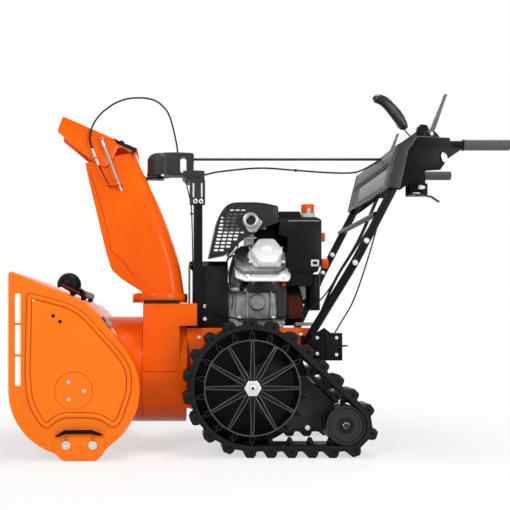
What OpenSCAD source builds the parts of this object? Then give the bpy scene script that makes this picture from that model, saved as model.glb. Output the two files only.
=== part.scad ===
// Two-stage tracked snow blower. X runs from the auger to the operator, Y from the
// operator's left to the right, Z is up. The origin is under the middle of the machine.

/* [Auger housing] */
// Width over the housing side plates
housing_w = 712; // [560:2:860]
// Thickness of the housing sheet
sheet_t = 3; // [2:0.5:5]
// Radius of the rolled part of the housing
housing_r = 206; // [198:1:214]
// Height of the auger axis
auger_z = 221; // [217:1:230]
// Height of the top front edge of the housing
housing_top = 597; // [570:1:620]
// Width of the slots in the side plates
slot_w = 19; // [8:1:26]
// Length of the slots in the side plates
slot_l = 92; // [60:1:94]
// Thickness of the skid shoes
skid_t = 5; // [3:0.5:8]
// Length of the skid shoes
skid_l = 152; // [130:2:180]

/* [Auger] */
// Radius of the auger flights
auger_r = 193; // [150:1:195]
// Radius of the auger shaft
auger_shaft_r = 12.5; // [9:0.5:14]
// Width of the auger ribbon
ribbon_w = 48; // [30:1:70]
// Thickness of the auger ribbon
ribbon_t = 5; // [3:0.5:8]

/* [Impeller] */
// Outer radius of the impeller drum
drum_r = 187; // [170:1:190]
// Radius of the impeller blades
fan_r = 178; // [140:1:181]
// Radius of the impeller shaft
impeller_shaft_r = 10.5; // [8:0.5:12]
// Number of impeller blades
blades = 4; // [3:1:6]

/* [Chute] */
// Outer radius of the chute's turning ring
ring_r = 96; // [90:1:97]
// Half width of the chute at its foot
chute_half_w = 76; // [66:1:80]
// Half width of the chute at its mouth
mouth_half_w = 66; // [56:1:72]
// Thickness of the chute wall
chute_t = 3; // [2:0.5:5]
// Side of the square post
post_w = 30; // [24:1:34]

/* [Tracks] */
// Width of a track
track_w = 118; // [112:1:122]
// Distance between the outer faces of the tracks
track_span = 616; // [612:2:640]
// Radius at which the track runs round the drive wheel
track_r = 186; // [180:1:188]
// Thickness of the track belt
belt_t = 12; // [8:1:15]
// Height of the tread lugs
lug_h = 27; // [16:1:30]
// Radius of the idler wheels
idler_r = 65; // [55:1:72]
// Number of tread lugs on a track
lugs = 23; // [18:1:26]
// Number of spokes in a drive wheel
spokes = 12; // [6:1:16]
// Radius of the drive axle
axle_r = 12; // [9:0.5:14]

/* [Handlebars] */
// Radius of the handlebar tube
tube_r = 14; // [11:0.5:15]
// Distance between the two grips, centre to centre
grip_span = 550; // [500:2:570]
// Radius of the grips
grip_r = 17; // [16.5:0.5:20]
// Length of the grips
grip_l = 150; // [110:2:154]
// Length of the clutch levers
lever_l = 150; // [100:2:160]

/* [Engine] */
// Number of cooling fins
fins = 9; // [5:1:11]
// Radius of the fuel cap
cap_r = 23; // [18:1:26]
// Number of slot rows in the muffler guard
guard_rows = 8; // [4:1:9]

/* [Hidden] */
$fn = 48;
arc_step = 6;
seat = 0.3;            // gap between a moving piece and its neighbour
shaft_gap = 0.05;      // radial clearance of a running shaft

// Stations along the machine
auger_x = -598;
drum_x = -238;
chute_x = -330;
chute_y = -80;
axle_x = -31;
idler_x = 271;
impeller_z = 270;
crank_z = 520;
front_x = auger_x - housing_r;
rear_x = 804;

half_w = housing_w / 2;
inner_w = half_w - sheet_t;
foot_z = 3;
wheel_z = track_r + belt_t + lug_h;
idler_z = idler_r + belt_t + lug_h;
track_out = track_span / 2;
track_in = track_out - track_w;
chassis_half = 150;
chassis_top = 417;
grip_y = grip_span / 2;
grip_z = 1011;

// ---------------------------------------------------------------- paths and helpers
function arc(c, r, a0, a1, step = arc_step) =
    let (n = max(1, ceil(abs(a1 - a0) / step)))
    [for (i = [0 : n]) let (a = a0 + (a1 - a0) * i / n) c + r * [cos(a), sin(a)]];
function seg_normal(a, b) = let (d = b - a) [d[1], -d[0]] / norm(d);
function miter(a, b, c, d) =
    let (n = seg_normal(a, b), m = seg_normal(b, c)) b + (n + m) * d / (1 + n * m);
function offset_path(p, d) = let (e = len(p) - 1)
    [for (i = [0 : e])
        i == 0 ? p[0] + seg_normal(p[0], p[1]) * d
        : i == e ? p[e] + seg_normal(p[e - 1], p[e]) * d
        : miter(p[i - 1], p[i], p[i + 1], d)];
function offset_loop(p, d) = let (n = len(p))
    [for (i = [0 : n - 1]) miter(p[(i + n - 1) % n], p[i], p[(i + 1) % n], d)];
function reversed(p) = [for (i = [len(p) - 1 : -1 : 0]) p[i]];
function strip(p, d) = concat(p, reversed(offset_path(p, d)));

// External belt loop round two circles, counter-clockwise
function loop_angles(c1, r1, c2, r2) =
    let (v = c2 - c1, a = atan2(v[1], v[0]), b = acos((r1 - r2) / norm(v))) [a - b, a + b];
function belt_loop(c1, r1, c2, r2) =
    let (t = loop_angles(c1, r1, c2, r2))
    concat(arc(c2, r2, t[0], t[1], 10), arc(c1, r1, t[1], t[0] + 360, 8));

// Ring frames of a round tube swept along points in space
function tri(q) = [[q[0], q[1], q[2]], [q[0], q[2], q[3]]];
function unit(v) = v / norm(v);
function tangent(p, i) = unit(p[min(i + 1, len(p) - 1)] - p[max(i - 1, 0)]);
function side_of(t) = unit(cross(t, abs(t[2]) > 0.95 ? [0, 1, 0] : [0, 0, 1]));
function ring_at(c, t, r, n) = let (u = side_of(t), v = cross(u, t))
    [for (k = [0 : n - 1]) c + r * (cos(360 * k / n) * u + sin(360 * k / n) * v)];
module swept(p, r, n = 8) {
    m = len(p);
    pts = [for (i = [0 : m - 1]) each ring_at(p[i], tangent(p, i), is_list(r) ? r[i] : r, n)];
    sides = [for (i = [0 : m - 2], k = [0 : n - 1])
        each tri([i * n + k, i * n + (k + 1) % n, (i + 1) * n + (k + 1) % n, (i + 1) * n + k])];
    polyhedron(pts, concat(sides, [[for (k = [n - 1 : -1 : 0]) k]],
        [[for (k = [0 : n - 1]) (m - 1) * n + k]]), convexity = 6);
}

// Plate whose outline lies in XZ, from y0 towards +Y
module plate_y(y0, t) translate([0, y0 + t, 0]) rotate([90, 0, 0]) linear_extrude(t) children();
// Plate whose outline lies in YZ, from x0 towards +X
module plate_x(x0, t) translate([x0, 0, 0]) rotate([90, 0, 90]) linear_extrude(t) children();
module rod_y(x, z, y0, y1, r) translate([x, y1, z]) rotate([90, 0, 0]) cylinder(r = r, h = y1 - y0);
module rod_x(y, z, x0, x1, r) translate([x0, y, z]) rotate([0, 90, 0]) cylinder(r = r, h = x1 - x0);
module box(x0, x1, y0, y1, z0, z1) translate([x0, y0, z0]) cube([x1 - x0, y1 - y0, z1 - z0]);
module both_sides() { children(); mirror([0, 1, 0]) children(); }
module bolt_y(x, y, z, r, h) translate([x, y, z]) rotate([90, 0, 0]) {
    cylinder(r = r, h = h * 0.35);
    cylinder(r = r * 0.62, h = h, $fn = 6);
}

// ---------------------------------------------------------------- auger housing
axis_a = [auger_x, auger_z];
back_a = 38;                                    // where the rolled sheet leaves the circle
shoulder = axis_a + housing_r * [cos(back_a), sin(back_a)]
    + 132 * [-sin(back_a), cos(back_a)];
brow = shoulder + [-48, 48];
lip = [front_x + 8, housing_top];
sheet_path = concat([lip, brow, shoulder], arc(axis_a, housing_r, back_a, -90),
    [[auger_x - 28, auger_z - housing_r]]);
plate_path = concat([[front_x, housing_top - 6], lip, brow, shoulder],
    arc(axis_a, housing_r, back_a, -56), [[auger_x + 68, foot_z], [auger_x - 29, foot_z]],
    arc(axis_a, housing_r, -108, -180));
outlet_x0 = chute_x - 56;
outlet_x1 = chute_x + 66;
ring_z = 510;
post_x = -200;
post_y = -138;

module auger_housing() color([0.95, 0.35, 0.02]) {
    drum_in = drum_r - sheet_t;
    difference() {
        union() {
            difference() {
                union() {
                    plate_y(-inner_w, 2 * inner_w) polygon(strip(sheet_path, sheet_t));
                    difference() {
                        rod_x(0, impeller_z, auger_x, drum_x, drum_r);
                        plate_y(-drum_r - 1, 2 * drum_r + 2)
                            polygon(concat([axis_a + [-400, 420]], offset_path(sheet_path, sheet_t / 2)));
                    }
                }
                rod_x(0, impeller_z, auger_x - 1, drum_x - sheet_t, drum_in);
            }
            difference() {
                box(outlet_x0, outlet_x1, -drum_r, -drum_r + 2 * drum_r * 0.54, impeller_z, ring_z);
                rod_x(0, impeller_z, outlet_x0 - 1, outlet_x1 + 1, drum_in);
            }
            translate([chute_x, chute_y, ring_z - 6]) cylinder(r = ring_r, h = 6);
            box(outlet_x1, post_x - post_w / 2 + 10, -drum_r, post_y - post_w / 2, 425, 500);
        }
        box(outlet_x0 + sheet_t, outlet_x1 - sheet_t, -drum_r + sheet_t,
            -drum_r + 2 * drum_r * 0.54 - sheet_t, impeller_z + 5, ring_z + 1);
        rod_x(0, impeller_z, drum_x - sheet_t - 1, drum_x + 1, impeller_shaft_r + 8);
    }
}

bead = [[-140, 296], [0, 250], [148, 92], [172, 26], [168, -38], [142, -102], [118, -122],
    [74, -106], [-60, -104], [-92, -124], [-118, -108], [-146, -56], [-158, 4]];
bearing_bolts = [0, 120, 240];
bolt_circle = 32;
module side_plate() {
    difference() {
        union() {
            plate_y(-half_w, sheet_t) polygon(plate_path);
            difference() {
                plate_y(-half_w - 3, 3) polygon([for (p = bead) axis_a + p]);
                rod_y(auger_x, auger_z, -half_w - 4, -half_w, 61);
            }
        }
        for (i = [0 : 2])
            box(front_x + 20, front_x + 20 + slot_w, -half_w - 5, -inner_w + 1,
                237 + i * 99, 237 + i * 99 + slot_l);
        for (a = bearing_bolts) let (p = axis_a + bolt_circle * [cos(a), sin(a)])
            rod_y(p[0], p[1], -half_w - 5, -inner_w + 1, 4);
    }
}
module housing_side_plates() color([0.95, 0.35, 0.02]) both_sides() side_plate();

module scraper_bar() color([0.15, 0.15, 0.16])
    box(auger_x - 34, auger_x + 12, -inner_w, inner_w, auger_z - housing_r - 6, auger_z - housing_r);

skid_x = auger_x + 18;
skid_h = 97;
module skid() {
    a = skid_l / 2;
    web = [[-a * 0.68, 0], [a * 0.68, 0], [a, 32], [a, 52], [a * 0.55, skid_h],
        [-a * 0.62, skid_h], [-a, 52], [-a, 32]];
    difference() {
        union() {
            plate_y(-half_w - skid_t, skid_t) polygon([for (p = web) [skid_x, 0] + p]);
            difference() {
                plate_y(-half_w - skid_t - 12, 12) polygon([for (p = web) [skid_x, 0] + p]);
                plate_y(-half_w - skid_t - 13, 14) polygon([for (p = offset_loop(web, -5)) [skid_x, 0] + p]);
            }
        }
        for (s = [-42, 42]) rod_y(skid_x + s, 50, -half_w - skid_t - 1, -half_w + 1, 5.5);
    }
}
module skid_shoes() color([0.95, 0.35, 0.02]) both_sides() skid();

module frame_bolts() color("silver") {
    both_sides() {
        for (s = [-42, 42]) bolt_y(skid_x + s, -half_w - skid_t, 50, 14, 8);
        for (a = bearing_bolts) let (p = axis_a + bolt_circle * [cos(a), sin(a)])
            bolt_y(p[0], -half_w, p[1], 8, 6);
        for (t = [0.12, 0.34]) let (p = foot_p + t * (bend_p - foot_p))
            bolt_y(p[0], p[1] - tube_r - 4, p[2], 9, 7);
    }
    for (z = [492, 448]) bolt_y(-176, -cover_half, z, 7, 5);
    for (x = [-12, 12]) bolt_y(post_x + x * 0.8, post_y - post_w / 2 - 6, 846, 6, 5);
    bolt_y(589, -console_half, 969, 18, 7);
}

module flange_bearing_y(x, z, y0, dir, r_in, r_out) {
    lo = dir > 0 ? y0 : y0 - 6;
    difference() {
        rod_y(x, z, lo, lo + 6, r_out);
        rod_y(x, z, lo - 1, lo + 7, r_in + shaft_gap);
    }
}
module shaft_bearings() color([0.35, 0.36, 0.38]) {
    both_sides() {
        flange_bearing_y(auger_x, auger_z, -inner_w, 1, auger_shaft_r, 44);
        flange_bearing_y(axle_x, wheel_z, -chassis_half, -1, axle_r, 38);
    }
    difference() {
        union() {
            rod_x(0, impeller_z, drum_x, drum_x + 5, 44);
            rod_x(0, impeller_z, drum_x, drum_x + 16, 26);
        }
        rod_x(0, impeller_z, drum_x - 1, drum_x + 20, impeller_shaft_r + shaft_gap);
    }
}

// ---------------------------------------------------------------- auger and its gearbox
case_half = 30;
worm_r = 12;
module gearbox_solid() {
    rod_y(auger_x, auger_z, -case_half, case_half, 50);
    rod_x(0, impeller_z, auger_x - 46, auger_x + 50, 24);
    rod_y(auger_x, auger_z, -case_half - 12, case_half + 12, auger_shaft_r + 8);
}
module gearbox_half(s) intersection() {
    box(auger_x - 80, auger_x + 80, s > 0 ? 0.1 : -80, s > 0 ? 80 : -0.1, 100, 350);
    difference() {
        gearbox_solid();
        rod_y(auger_x, auger_z, -case_half + 9, case_half - 9, 42);
        rod_x(0, impeller_z, auger_x - 36, auger_x + 38, worm_r + 4);
        rod_y(auger_x, auger_z, -80, 80, auger_shaft_r + shaft_gap);
        rod_x(0, impeller_z, auger_x, auger_x + 60, impeller_shaft_r + shaft_gap);
    }
}
module auger_gearbox() color([0.2, 0.2, 0.21]) { gearbox_half(1); gearbox_half(-1); }

module auger_shaft() color([0.55, 0.56, 0.58])
    rod_y(auger_x, auger_z, -inner_w + 1, inner_w - 1, auger_shaft_r);

// Helical ribbon with toothed outer edge
rake_y0 = case_half + 22;
rake_y1 = inner_w - 22;
ribbon_turn = 430;
ribbon_steps = 44;
function ribbon_ring(i, r0, r1, hand) =
    let (a = ribbon_turn * i / ribbon_steps, y = rake_y0 + (rake_y1 - rake_y0) * i / ribbon_steps,
        e = (i % 4 < 2) ? r1 : r1 - 10, w = ribbon_t / 2)
    [for (q = [[r0, -w], [e, -w], [e, w], [r0, w]])
        [auger_x + q[0] * cos(a), y + q[1], auger_z + hand * q[0] * sin(a)]];
module ribbon() {
    pts = [for (i = [0 : ribbon_steps]) each ribbon_ring(i, auger_r - ribbon_w, auger_r, 1)];
    m = 4 * ribbon_steps;
    polyhedron(pts, concat(
        [for (i = [0 : ribbon_steps - 1], k = [0 : 3])
            each tri([4 * i + k, 4 * i + 4 + k, 4 * i + 4 + (k + 1) % 4, 4 * i + (k + 1) % 4])],
        tri([0, 1, 2, 3]), tri([m + 3, m + 2, m + 1, m])), convexity = 8);
}
module rake() {
    difference() {
        union() {
            rod_y(auger_x, auger_z, rake_y0 - 4, inner_w - 8, auger_shaft_r + 5);
            ribbon();
            for (i = [0 : 3]) let (k = 4 + i * 12, a = ribbon_turn * k / ribbon_steps,
                y = rake_y0 + (rake_y1 - rake_y0) * k / ribbon_steps)
                translate([auger_x, y, auger_z]) rotate([0, -a, 0])
                    translate([auger_shaft_r + 2, -3, -11]) cube([auger_r - ribbon_w - auger_shaft_r + 8, 6, 22]);
        }
        rod_y(auger_x, auger_z, 0, half_w, auger_shaft_r + shaft_gap);
    }
}
module auger_rakes() color([0.95, 0.35, 0.02]) both_sides() rake();

module worm_wheel() color([0.7, 0.6, 0.3]) {
    wheel_r = impeller_z - auger_z - worm_r;
    teeth = 20;
    difference() {
        plate_y(-case_half + 10, 2 * case_half - 20) polygon([for (i = [0 : teeth - 1], k = [0 : 3])
            let (a = 360 * (i + [0, 0.3, 0.5, 0.8][k]) / teeth, r = k < 2 ? wheel_r - 0.4 : wheel_r - 4.4)
            axis_a + r * [cos(a), sin(a)]]);
        rod_y(auger_x, auger_z, -case_half, case_half, auger_shaft_r + shaft_gap);
    }
}

// ---------------------------------------------------------------- impeller
pulley_x = -205;
pulley_t = 22;
module impeller_shaft() color([0.55, 0.56, 0.58]) {
    rod_x(0, impeller_z, auger_x - 30, pulley_x + pulley_t + 8, impeller_shaft_r);
    for (i = [0 : 5]) rod_x(0, impeller_z, auger_x - 28 + i * 10, auger_x - 23 + i * 10, worm_r - 0.3);
}
module impeller_fan() color([0.95, 0.35, 0.02]) difference() {
    union() {
        rod_x(0, impeller_z, -384, drum_x - 14, impeller_shaft_r + 10);
        for (i = [0 : blades - 1]) translate([0, 0, impeller_z]) rotate([360 * i / blades, 0, 0]) {
            box(-374, drum_x - 18, 14, fan_r - 22, -3, 3);
            translate([0, fan_r - 24, -3]) rotate([24, 0, 0]) box(-374, drum_x - 18, 0, 22, 0, 6);
        }
        rod_x(0, impeller_z, drum_x - 22, drum_x - 17, fan_r * 0.62);
    }
    rod_x(0, impeller_z, -400, drum_x, impeller_shaft_r + shaft_gap);
}
module pulley(z, r, bore) difference() {
    union() {
        rod_x(0, z, pulley_x, pulley_x + pulley_t, r);
        rod_x(0, z, pulley_x, pulley_x + 4, r + 9);
        rod_x(0, z, pulley_x + pulley_t - 4, pulley_x + pulley_t, r + 9);
    }
    rod_x(0, z, pulley_x - 1, pulley_x + pulley_t + 1, bore + shaft_gap);
}
big_pulley_r = 88;
small_pulley_r = 34;
crank_r = 12.7;
module impeller_pulley() color([0.4, 0.4, 0.42]) pulley(impeller_z, big_pulley_r, impeller_shaft_r);
module engine_pulley() color([0.4, 0.4, 0.42]) pulley(crank_z, small_pulley_r, crank_r);
module crankshaft() color([0.6, 0.6, 0.62]) rod_x(0, crank_z, pulley_x - 6, 60, crank_r);
module drive_belt() color([0.08, 0.08, 0.08]) difference() {
    plate_x(pulley_x + 5, pulley_t - 10) polygon(belt_loop([0, impeller_z], big_pulley_r + 8,
        [0, crank_z], small_pulley_r + 8));
    plate_x(pulley_x + 4, pulley_t - 8) polygon(belt_loop([0, impeller_z], big_pulley_r + 0.6,
        [0, crank_z], small_pulley_r + 0.6));
}

// ---------------------------------------------------------------- chassis and drive
chassis_path = [[drum_x, 144], [drum_x, chassis_top], [182, chassis_top], [182, 371],
    [130, 300], [60, 174], [-120, 144]];
chassis_t = 4;
cover_half = 122;
module chassis_frame() color([0.95, 0.35, 0.02]) difference() {
    plate_y(-chassis_half, 2 * chassis_half) polygon(chassis_path);
    plate_y(-chassis_half + chassis_t, 2 * (chassis_half - chassis_t))
        polygon(offset_loop(chassis_path, chassis_t));
    box(-160, 100, -chassis_half + chassis_t, chassis_half - chassis_t, 130, 190);
    box(pulley_x - 8, pulley_x + pulley_t + 8, -80, 80, 380, 430);
    rod_x(0, impeller_z, drum_x - 1, drum_x + 10, 48);
    rod_y(axle_x, wheel_z, -chassis_half - 1, chassis_half + 1, axle_r + 4);
}

case_r = 62;
module transmission() color([0.3, 0.31, 0.33]) difference() {
    union() {
        rod_y(axle_x, wheel_z, -58, 58, case_r);
        rod_y(axle_x, wheel_z, -100, 100, 34);
        box(axle_x - 40, axle_x + 40, -50, 50, wheel_z, chassis_top - chassis_t);
    }
    rod_y(axle_x, wheel_z, -48, 48, case_r - 12);
    rod_y(axle_x, wheel_z, -101, 101, axle_r + shaft_gap);
}

module axle() {
    rod_y(axle_x, wheel_z, -track_out - 12, -20, axle_r);
    rod_y(axle_x, wheel_z, -44, -20, 30);
    difference() {
        translate([axle_x, -track_out + 2, wheel_z]) rotate([90, 0, 0]) cylinder(r = 28, h = 13, $fn = 6);
        rod_y(axle_x, wheel_z, -track_out - 30, 0, axle_r + shaft_gap);
    }
}
module left_axle() color("silver") axle();
module right_axle() color("silver") mirror([0, 1, 0]) axle();

// Drive wheel: thin ring carried on tapered spokes, toothed flanges outside it
hub_r = 32;
wheel_ring_r = track_r - 30;
wheel_y0 = -track_out + 3;
wheel_y1 = -track_in - 18;
lug_band = [wheel_y0 + 34, wheel_y0 + 60];      // where the belt's guide lugs run
teeth = 18;
module drive_wheel() {
    tooth = [[wheel_ring_r - 3, -12], [track_r - 2, -3.5], [track_r - 2, 3.5], [wheel_ring_r - 3, 12]];
    notch = [[wheel_ring_r + 4, -6], [track_r - 9, -0.8], [track_r - 9, 0.8], [wheel_ring_r + 4, 6]];
    difference() {
        union() {
            difference() {
                rod_y(axle_x, wheel_z, wheel_y0, wheel_y1, wheel_ring_r);
                rod_y(axle_x, wheel_z, wheel_y0 - 1, wheel_y1 + 1, wheel_ring_r - 5);
            }
            rod_y(axle_x, wheel_z, wheel_y0 - 1, wheel_y1, hub_r);
            for (i = [0 : spokes - 1]) translate([axle_x, 0, wheel_z]) rotate([0, -360 * i / spokes, 0]) {
                plate_y(wheel_y0 + 6, 24) polygon([[hub_r - 4, -7], [wheel_ring_r - 3, -5],
                    [wheel_ring_r - 3, 5], [hub_r - 4, 7]]);
                for (s = [-1, 1]) plate_y(wheel_y0 + 1, 6) polygon([[hub_r - 4, s * 7], [hub_r - 4, s * 4.5],
                    [wheel_ring_r - 3, s * 2.5], [wheel_ring_r - 3, s * 5]]);
            }
            for (i = [0 : teeth - 1]) translate([axle_x, 0, wheel_z])
                rotate([0, -360 * (i + 0.5) / teeth, 0]) for (y = [wheel_y0 + 5, lug_band[1] + 4])
                    difference() {
                        plate_y(y, 26) polygon(tooth);
                        plate_y(y - 1, 28) polygon(notch);
                    }
        }
        rod_y(axle_x, wheel_z, -track_out - 30, 0, axle_r + shaft_gap);
    }
}
module left_drive_wheel() color([0.1, 0.1, 0.11]) drive_wheel();
module right_drive_wheel() color([0.1, 0.1, 0.11]) mirror([0, 1, 0]) drive_wheel();

// Track belt: outline with tread lugs, and a row of pointed guide lugs inside
wheel_c = [axle_x, wheel_z];
idler_c = [idler_x, idler_z];
function run_length() = let (t = loop_angles(wheel_c, track_r, idler_c, idler_r), r = track_r + belt_t / 2,
    q = idler_r + belt_t / 2, d = norm(idler_c - wheel_c))
    [q * (t[1] - t[0]) * PI / 180, sqrt(d * d - pow(r - q, 2)), r * (360 + t[0] - t[1]) * PI / 180];
loop_l = run_length()[0] + 2 * run_length()[1] + run_length()[2];
// Place and outward angle of a station s along the middle of the belt
function station(s) = let (t = loop_angles(wheel_c, track_r, idler_c, idler_r), l = run_length(),
    r = track_r + belt_t / 2, q = idler_r + belt_t / 2)
    s < l[0] ? [idler_c + q * dir2(t[0] + s / q * 180 / PI), t[0] + s / q * 180 / PI]
    : s < l[0] + l[1] ? [idler_c + q * dir2(t[1]) + (s - l[0]) * dir2(t[1] + 90), t[1]]
    : s < l[0] + l[1] + l[2] ? let (a = t[1] + (s - l[0] - l[1]) / r * 180 / PI) [wheel_c + r * dir2(a), a]
    : [wheel_c + r * dir2(t[0]) + (s - l[0] - l[1] - l[2]) * dir2(t[0] + 90), t[0]];
function dir2(a) = [cos(a), sin(a)];
module at_station(s) let (p = station(s)) translate([p[0][0], 0, p[0][1]]) rotate([0, -p[1], 0]) children();
module track() {
    plate = track_w;
    pitch = loop_l / lugs;
    top = belt_t / 2 + lug_h;
    difference() {
        plate_y(-track_out, plate) polygon(belt_loop(wheel_c, track_r + belt_t, idler_c, idler_r + belt_t));
        plate_y(-track_out - 1, plate + 2) polygon(belt_loop(wheel_c, track_r, idler_c, idler_r));
    }
    for (i = [0 : lugs - 1]) at_station((i + 0.35) * pitch) {
        plate_y(-track_out, plate) polygon([[belt_t / 2 - 1.2, -21], [top - 7, -17], [top, -11],
            [top, 11], [top - 7, 17], [belt_t / 2 - 1.2, 21]]);
        plate_y(lug_band[0] + 1, lug_band[1] - lug_band[0] - 2) polygon([[-belt_t / 2 + 2.5, -15],
            [-belt_t / 2 + 2.5, 15], [-belt_t / 2 - 22, 4], [-belt_t / 2 - 22, -4]]);
    }
}
module rubber_tracks() color([0.07, 0.07, 0.07]) both_sides() track();

frame_y = -track_in - 14;
frame_path = concat(arc([axle_x, wheel_z], 46, 110, 200, 10), [[60, 72], [250, 72]],
    arc([idler_x, idler_z], 30, -90, 40, 10), [[212, 205], [110, 300], [40, 322]]);
idler_pin_r = 9;
module track_frame() color([0.2, 0.2, 0.21]) {
    both_sides() difference() {
        union() {
            plate_y(frame_y, 5) polygon(frame_path);
            rod_y(axle_x, wheel_z, frame_y, -chassis_half - 8, 32);
            rod_y(idler_x, idler_z, -track_out + 4, frame_y + 18, idler_pin_r);
        }
        rod_y(axle_x, wheel_z, frame_y - 1, -chassis_half, axle_r + shaft_gap);
    }
    rod_y(150, 118, frame_y + 5, -frame_y - 5, 15);
    both_sides() rod_y(162, 86, frame_y - 5, frame_y, 8);
}

module idler_pair() for (y = [[wheel_y0 + 5, 27], [lug_band[1] + 3, 30]]) difference() {
    union() {
        difference() {
            rod_y(idler_x, idler_z, y[0], y[0] + y[1], idler_r - seat);
            rod_y(idler_x, idler_z, y[0] - 1, y[0] + 7, idler_r - 9);
        }
        rod_y(idler_x, idler_z, y[0] + 1, y[0] + y[1], 29);
    }
    rod_y(idler_x, idler_z, y[0] - 1, y[0] + y[1] + 1, idler_pin_r + shaft_gap);
}
module left_idler_wheels() color([0.12, 0.12, 0.12]) idler_pair();
module right_idler_wheels() color([0.12, 0.12, 0.12]) mirror([0, 1, 0]) idler_pair();

module rear_bracket() color([0.13, 0.13, 0.14]) {
    difference() {
        box(182, 292, -144, 144, 306, 400);
        box(190, 300, -136, 136, 300, 392);
    }
    rod_x(-140, 356, 292, 310, 3);
    box(222, 236, -140, -128, 240, 306);
    plate_y(-144, 6) polygon([[190, 392], [230, 418], [262, 392]]);
}

// ---------------------------------------------------------------- engine
cyl_x = 16;
lean = 48;
block_path = [[-95, 431], [-95, 560], [-70, 600], [60, 604], [101, 560], [101, 431]];
module cylinder_frame() translate([cyl_x, 0, crank_z]) rotate([lean, 0, 0]) children();
function chamfered(x, y, c) = [[-x, -y + c], [-x + c, -y], [x - c, -y], [x, -y + c],
    [x, y - c], [x - c, y], [-x + c, y], [-x, y - c]];
module engine_block() color([0.55, 0.56, 0.57]) {
    difference() {
        union() {
            plate_y(-105, 200) polygon(block_path);
            box(-88, 95, -120, 110, chassis_top, 432);
            cylinder_frame() {
                linear_extrude(190) polygon(chamfered(70, 46, 20));
                for (i = [0 : fins - 1]) translate([-12, 0, 98 + i * 9])
                    linear_extrude(3.5) polygon(chamfered(95 - i * 1.5, 66, 26));
                translate([-8, 0, 184]) linear_extrude(16) polygon(chamfered(82, 62, 24));
            }
        }
        rod_x(0, crank_z, -200, 62, crank_r + shaft_gap);
    }
}
module valve_cover() color([0.92, 0.92, 0.9]) cylinder_frame() translate([8, -2, 200]) {
    linear_extrude(8) polygon(64 * [for (a = [0 : 60 : 300]) [cos(a) * 1.08, sin(a) * 0.98]]);
    translate([0, 0, 8]) linear_extrude(22) polygon(60 * [for (a = [0 : 60 : 300]) [cos(a), sin(a) * 0.95]]);
    translate([0, 0, 30]) linear_extrude(4) polygon(52 * [for (a = [0 : 60 : 300]) [cos(a), sin(a) * 0.95]]);
}

port = [-26, 778];
guard_y = -184;
guard_depth = 121;
module muffler() color([0.6, 0.6, 0.58]) {
    difference() {
        union() {
            box(-112, 30, guard_y + 26, guard_y + guard_depth, 752, 815);
            rod_y(port[0], port[1], guard_y - 14, guard_y + 30, 24);
        }
        rod_y(port[0], port[1], guard_y - 15, guard_y + 20, 17);
    }
    box(-30, -6, -104, -92, 698, 752);
    cylinder_frame() translate([-46, 62, 184]) cube([24, 6, 16]);
    for (p = [[-96, 809], [16, 806]]) rod_y(p[0], p[1], guard_y + 3, guard_y + 26, 5);
}
guard_path = [[-164, 657], [-133, 795], [-99, 839], [8, 840], [68, 827], [70, 772], [-8, 745],
    [-58, 712], [-104, 668]];
module muffler_guard() color([0.12, 0.12, 0.12]) difference() {
    plate_y(guard_y, guard_depth) polygon(guard_path);
    plate_y(guard_y + 3, guard_depth) polygon(concat([[-200, 600]], [for (i = [0 : 4])
        offset_loop(guard_path, 3)[i]], [[67, 700], [-8, 600]]));
    rod_y(port[0], port[1], guard_y - 1, guard_y + 4, 26);
    for (r = [0 : guard_rows - 1], c = [0 : 3]) let (x = -128 + c * 20 + r * 3, z = 690 + r * 15)
        if (norm([x + 7, z + 3] - port) > 38) box(x, x + 13, guard_y - 1, guard_y + 4, z, z + 7);
}

module air_box() color([0.1, 0.1, 0.1]) {
    plate_y(-188, 128) polygon([[104, 606], [101, 640], [101, 728], [71, 734], [71, 778], [78, 785],
        [206, 785], [213, 778], [213, 640], [200, 606]]);
    plate_y(-170, 80) polygon([[104, 560], [104, 606], [190, 606], [180, 560]]);
    box(213, 215, -150, -112, 626, 656);
}
module fuel_tank() color([0.12, 0.12, 0.12]) {
    difference() {
        plate_y(-60, 190) polygon([[-20, 690], [-20, 818], [-12, 826], [160, 826], [168, 806],
            [222, 806], [228, 798], [228, 690], [216, 676], [-8, 676]]);
        rod_z(194, -22, 780, 830, 15);
    }
    difference() {
        rod_z(194, -22, 806, 822, cap_r - 2);
        rod_z(194, -22, 780, 830, 15);
    }
    box(-60, 60, -20, 90, 604, 676);
}
module rod_z(x, y, z0, z1, r) translate([x, y, z0]) cylinder(r = r, h = z1 - z0);
module fuel_cap() color([0.95, 0.35, 0.02]) {
    difference() {
        rod_z(194, -22, 822 + seat, 854, cap_r);
        for (a = [0 : 45 : 315]) translate([194, -22, 0]) rotate([0, 0, a]) box(cap_r - 2, cap_r + 3, -3, 3, 826, 860);
    }
    rod_z(194, -22, 800, 823, 15 - seat);
}
module choke_knob() color([0.95, 0.35, 0.02]) {
    rod_x(-130, 728, 213, 219, 5);
    intersection() {
        rod_x(-130, 728, 217, 234, 16);
        box(210, 240, -140, -120, 700, 760);
    }
}
module throttle_knob() color([0.95, 0.35, 0.02]) {
    rod_x(-131, 638, 215 + seat, 222, 6);
    rod_x(-131, 638, 221, 244, 17);
}
module recoil_housing() color([0.12, 0.12, 0.12]) {
    difference() {
        rod_x(0, crank_z, 101, 166, 96);
        for (a = [0 : 30 : 330]) translate([0, 0, crank_z]) rotate([a, 0, 0]) box(160, 170, -4, 4, 46, 84);
    }
    rod_x(0, crank_z, 166, 174, 34);
}
module electric_starter() color([0.06, 0.06, 0.06]) {
    rod_z(205, -64, 478, 604, 25);
    box(166, 200, -74, -54, 500, 590);
}

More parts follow.
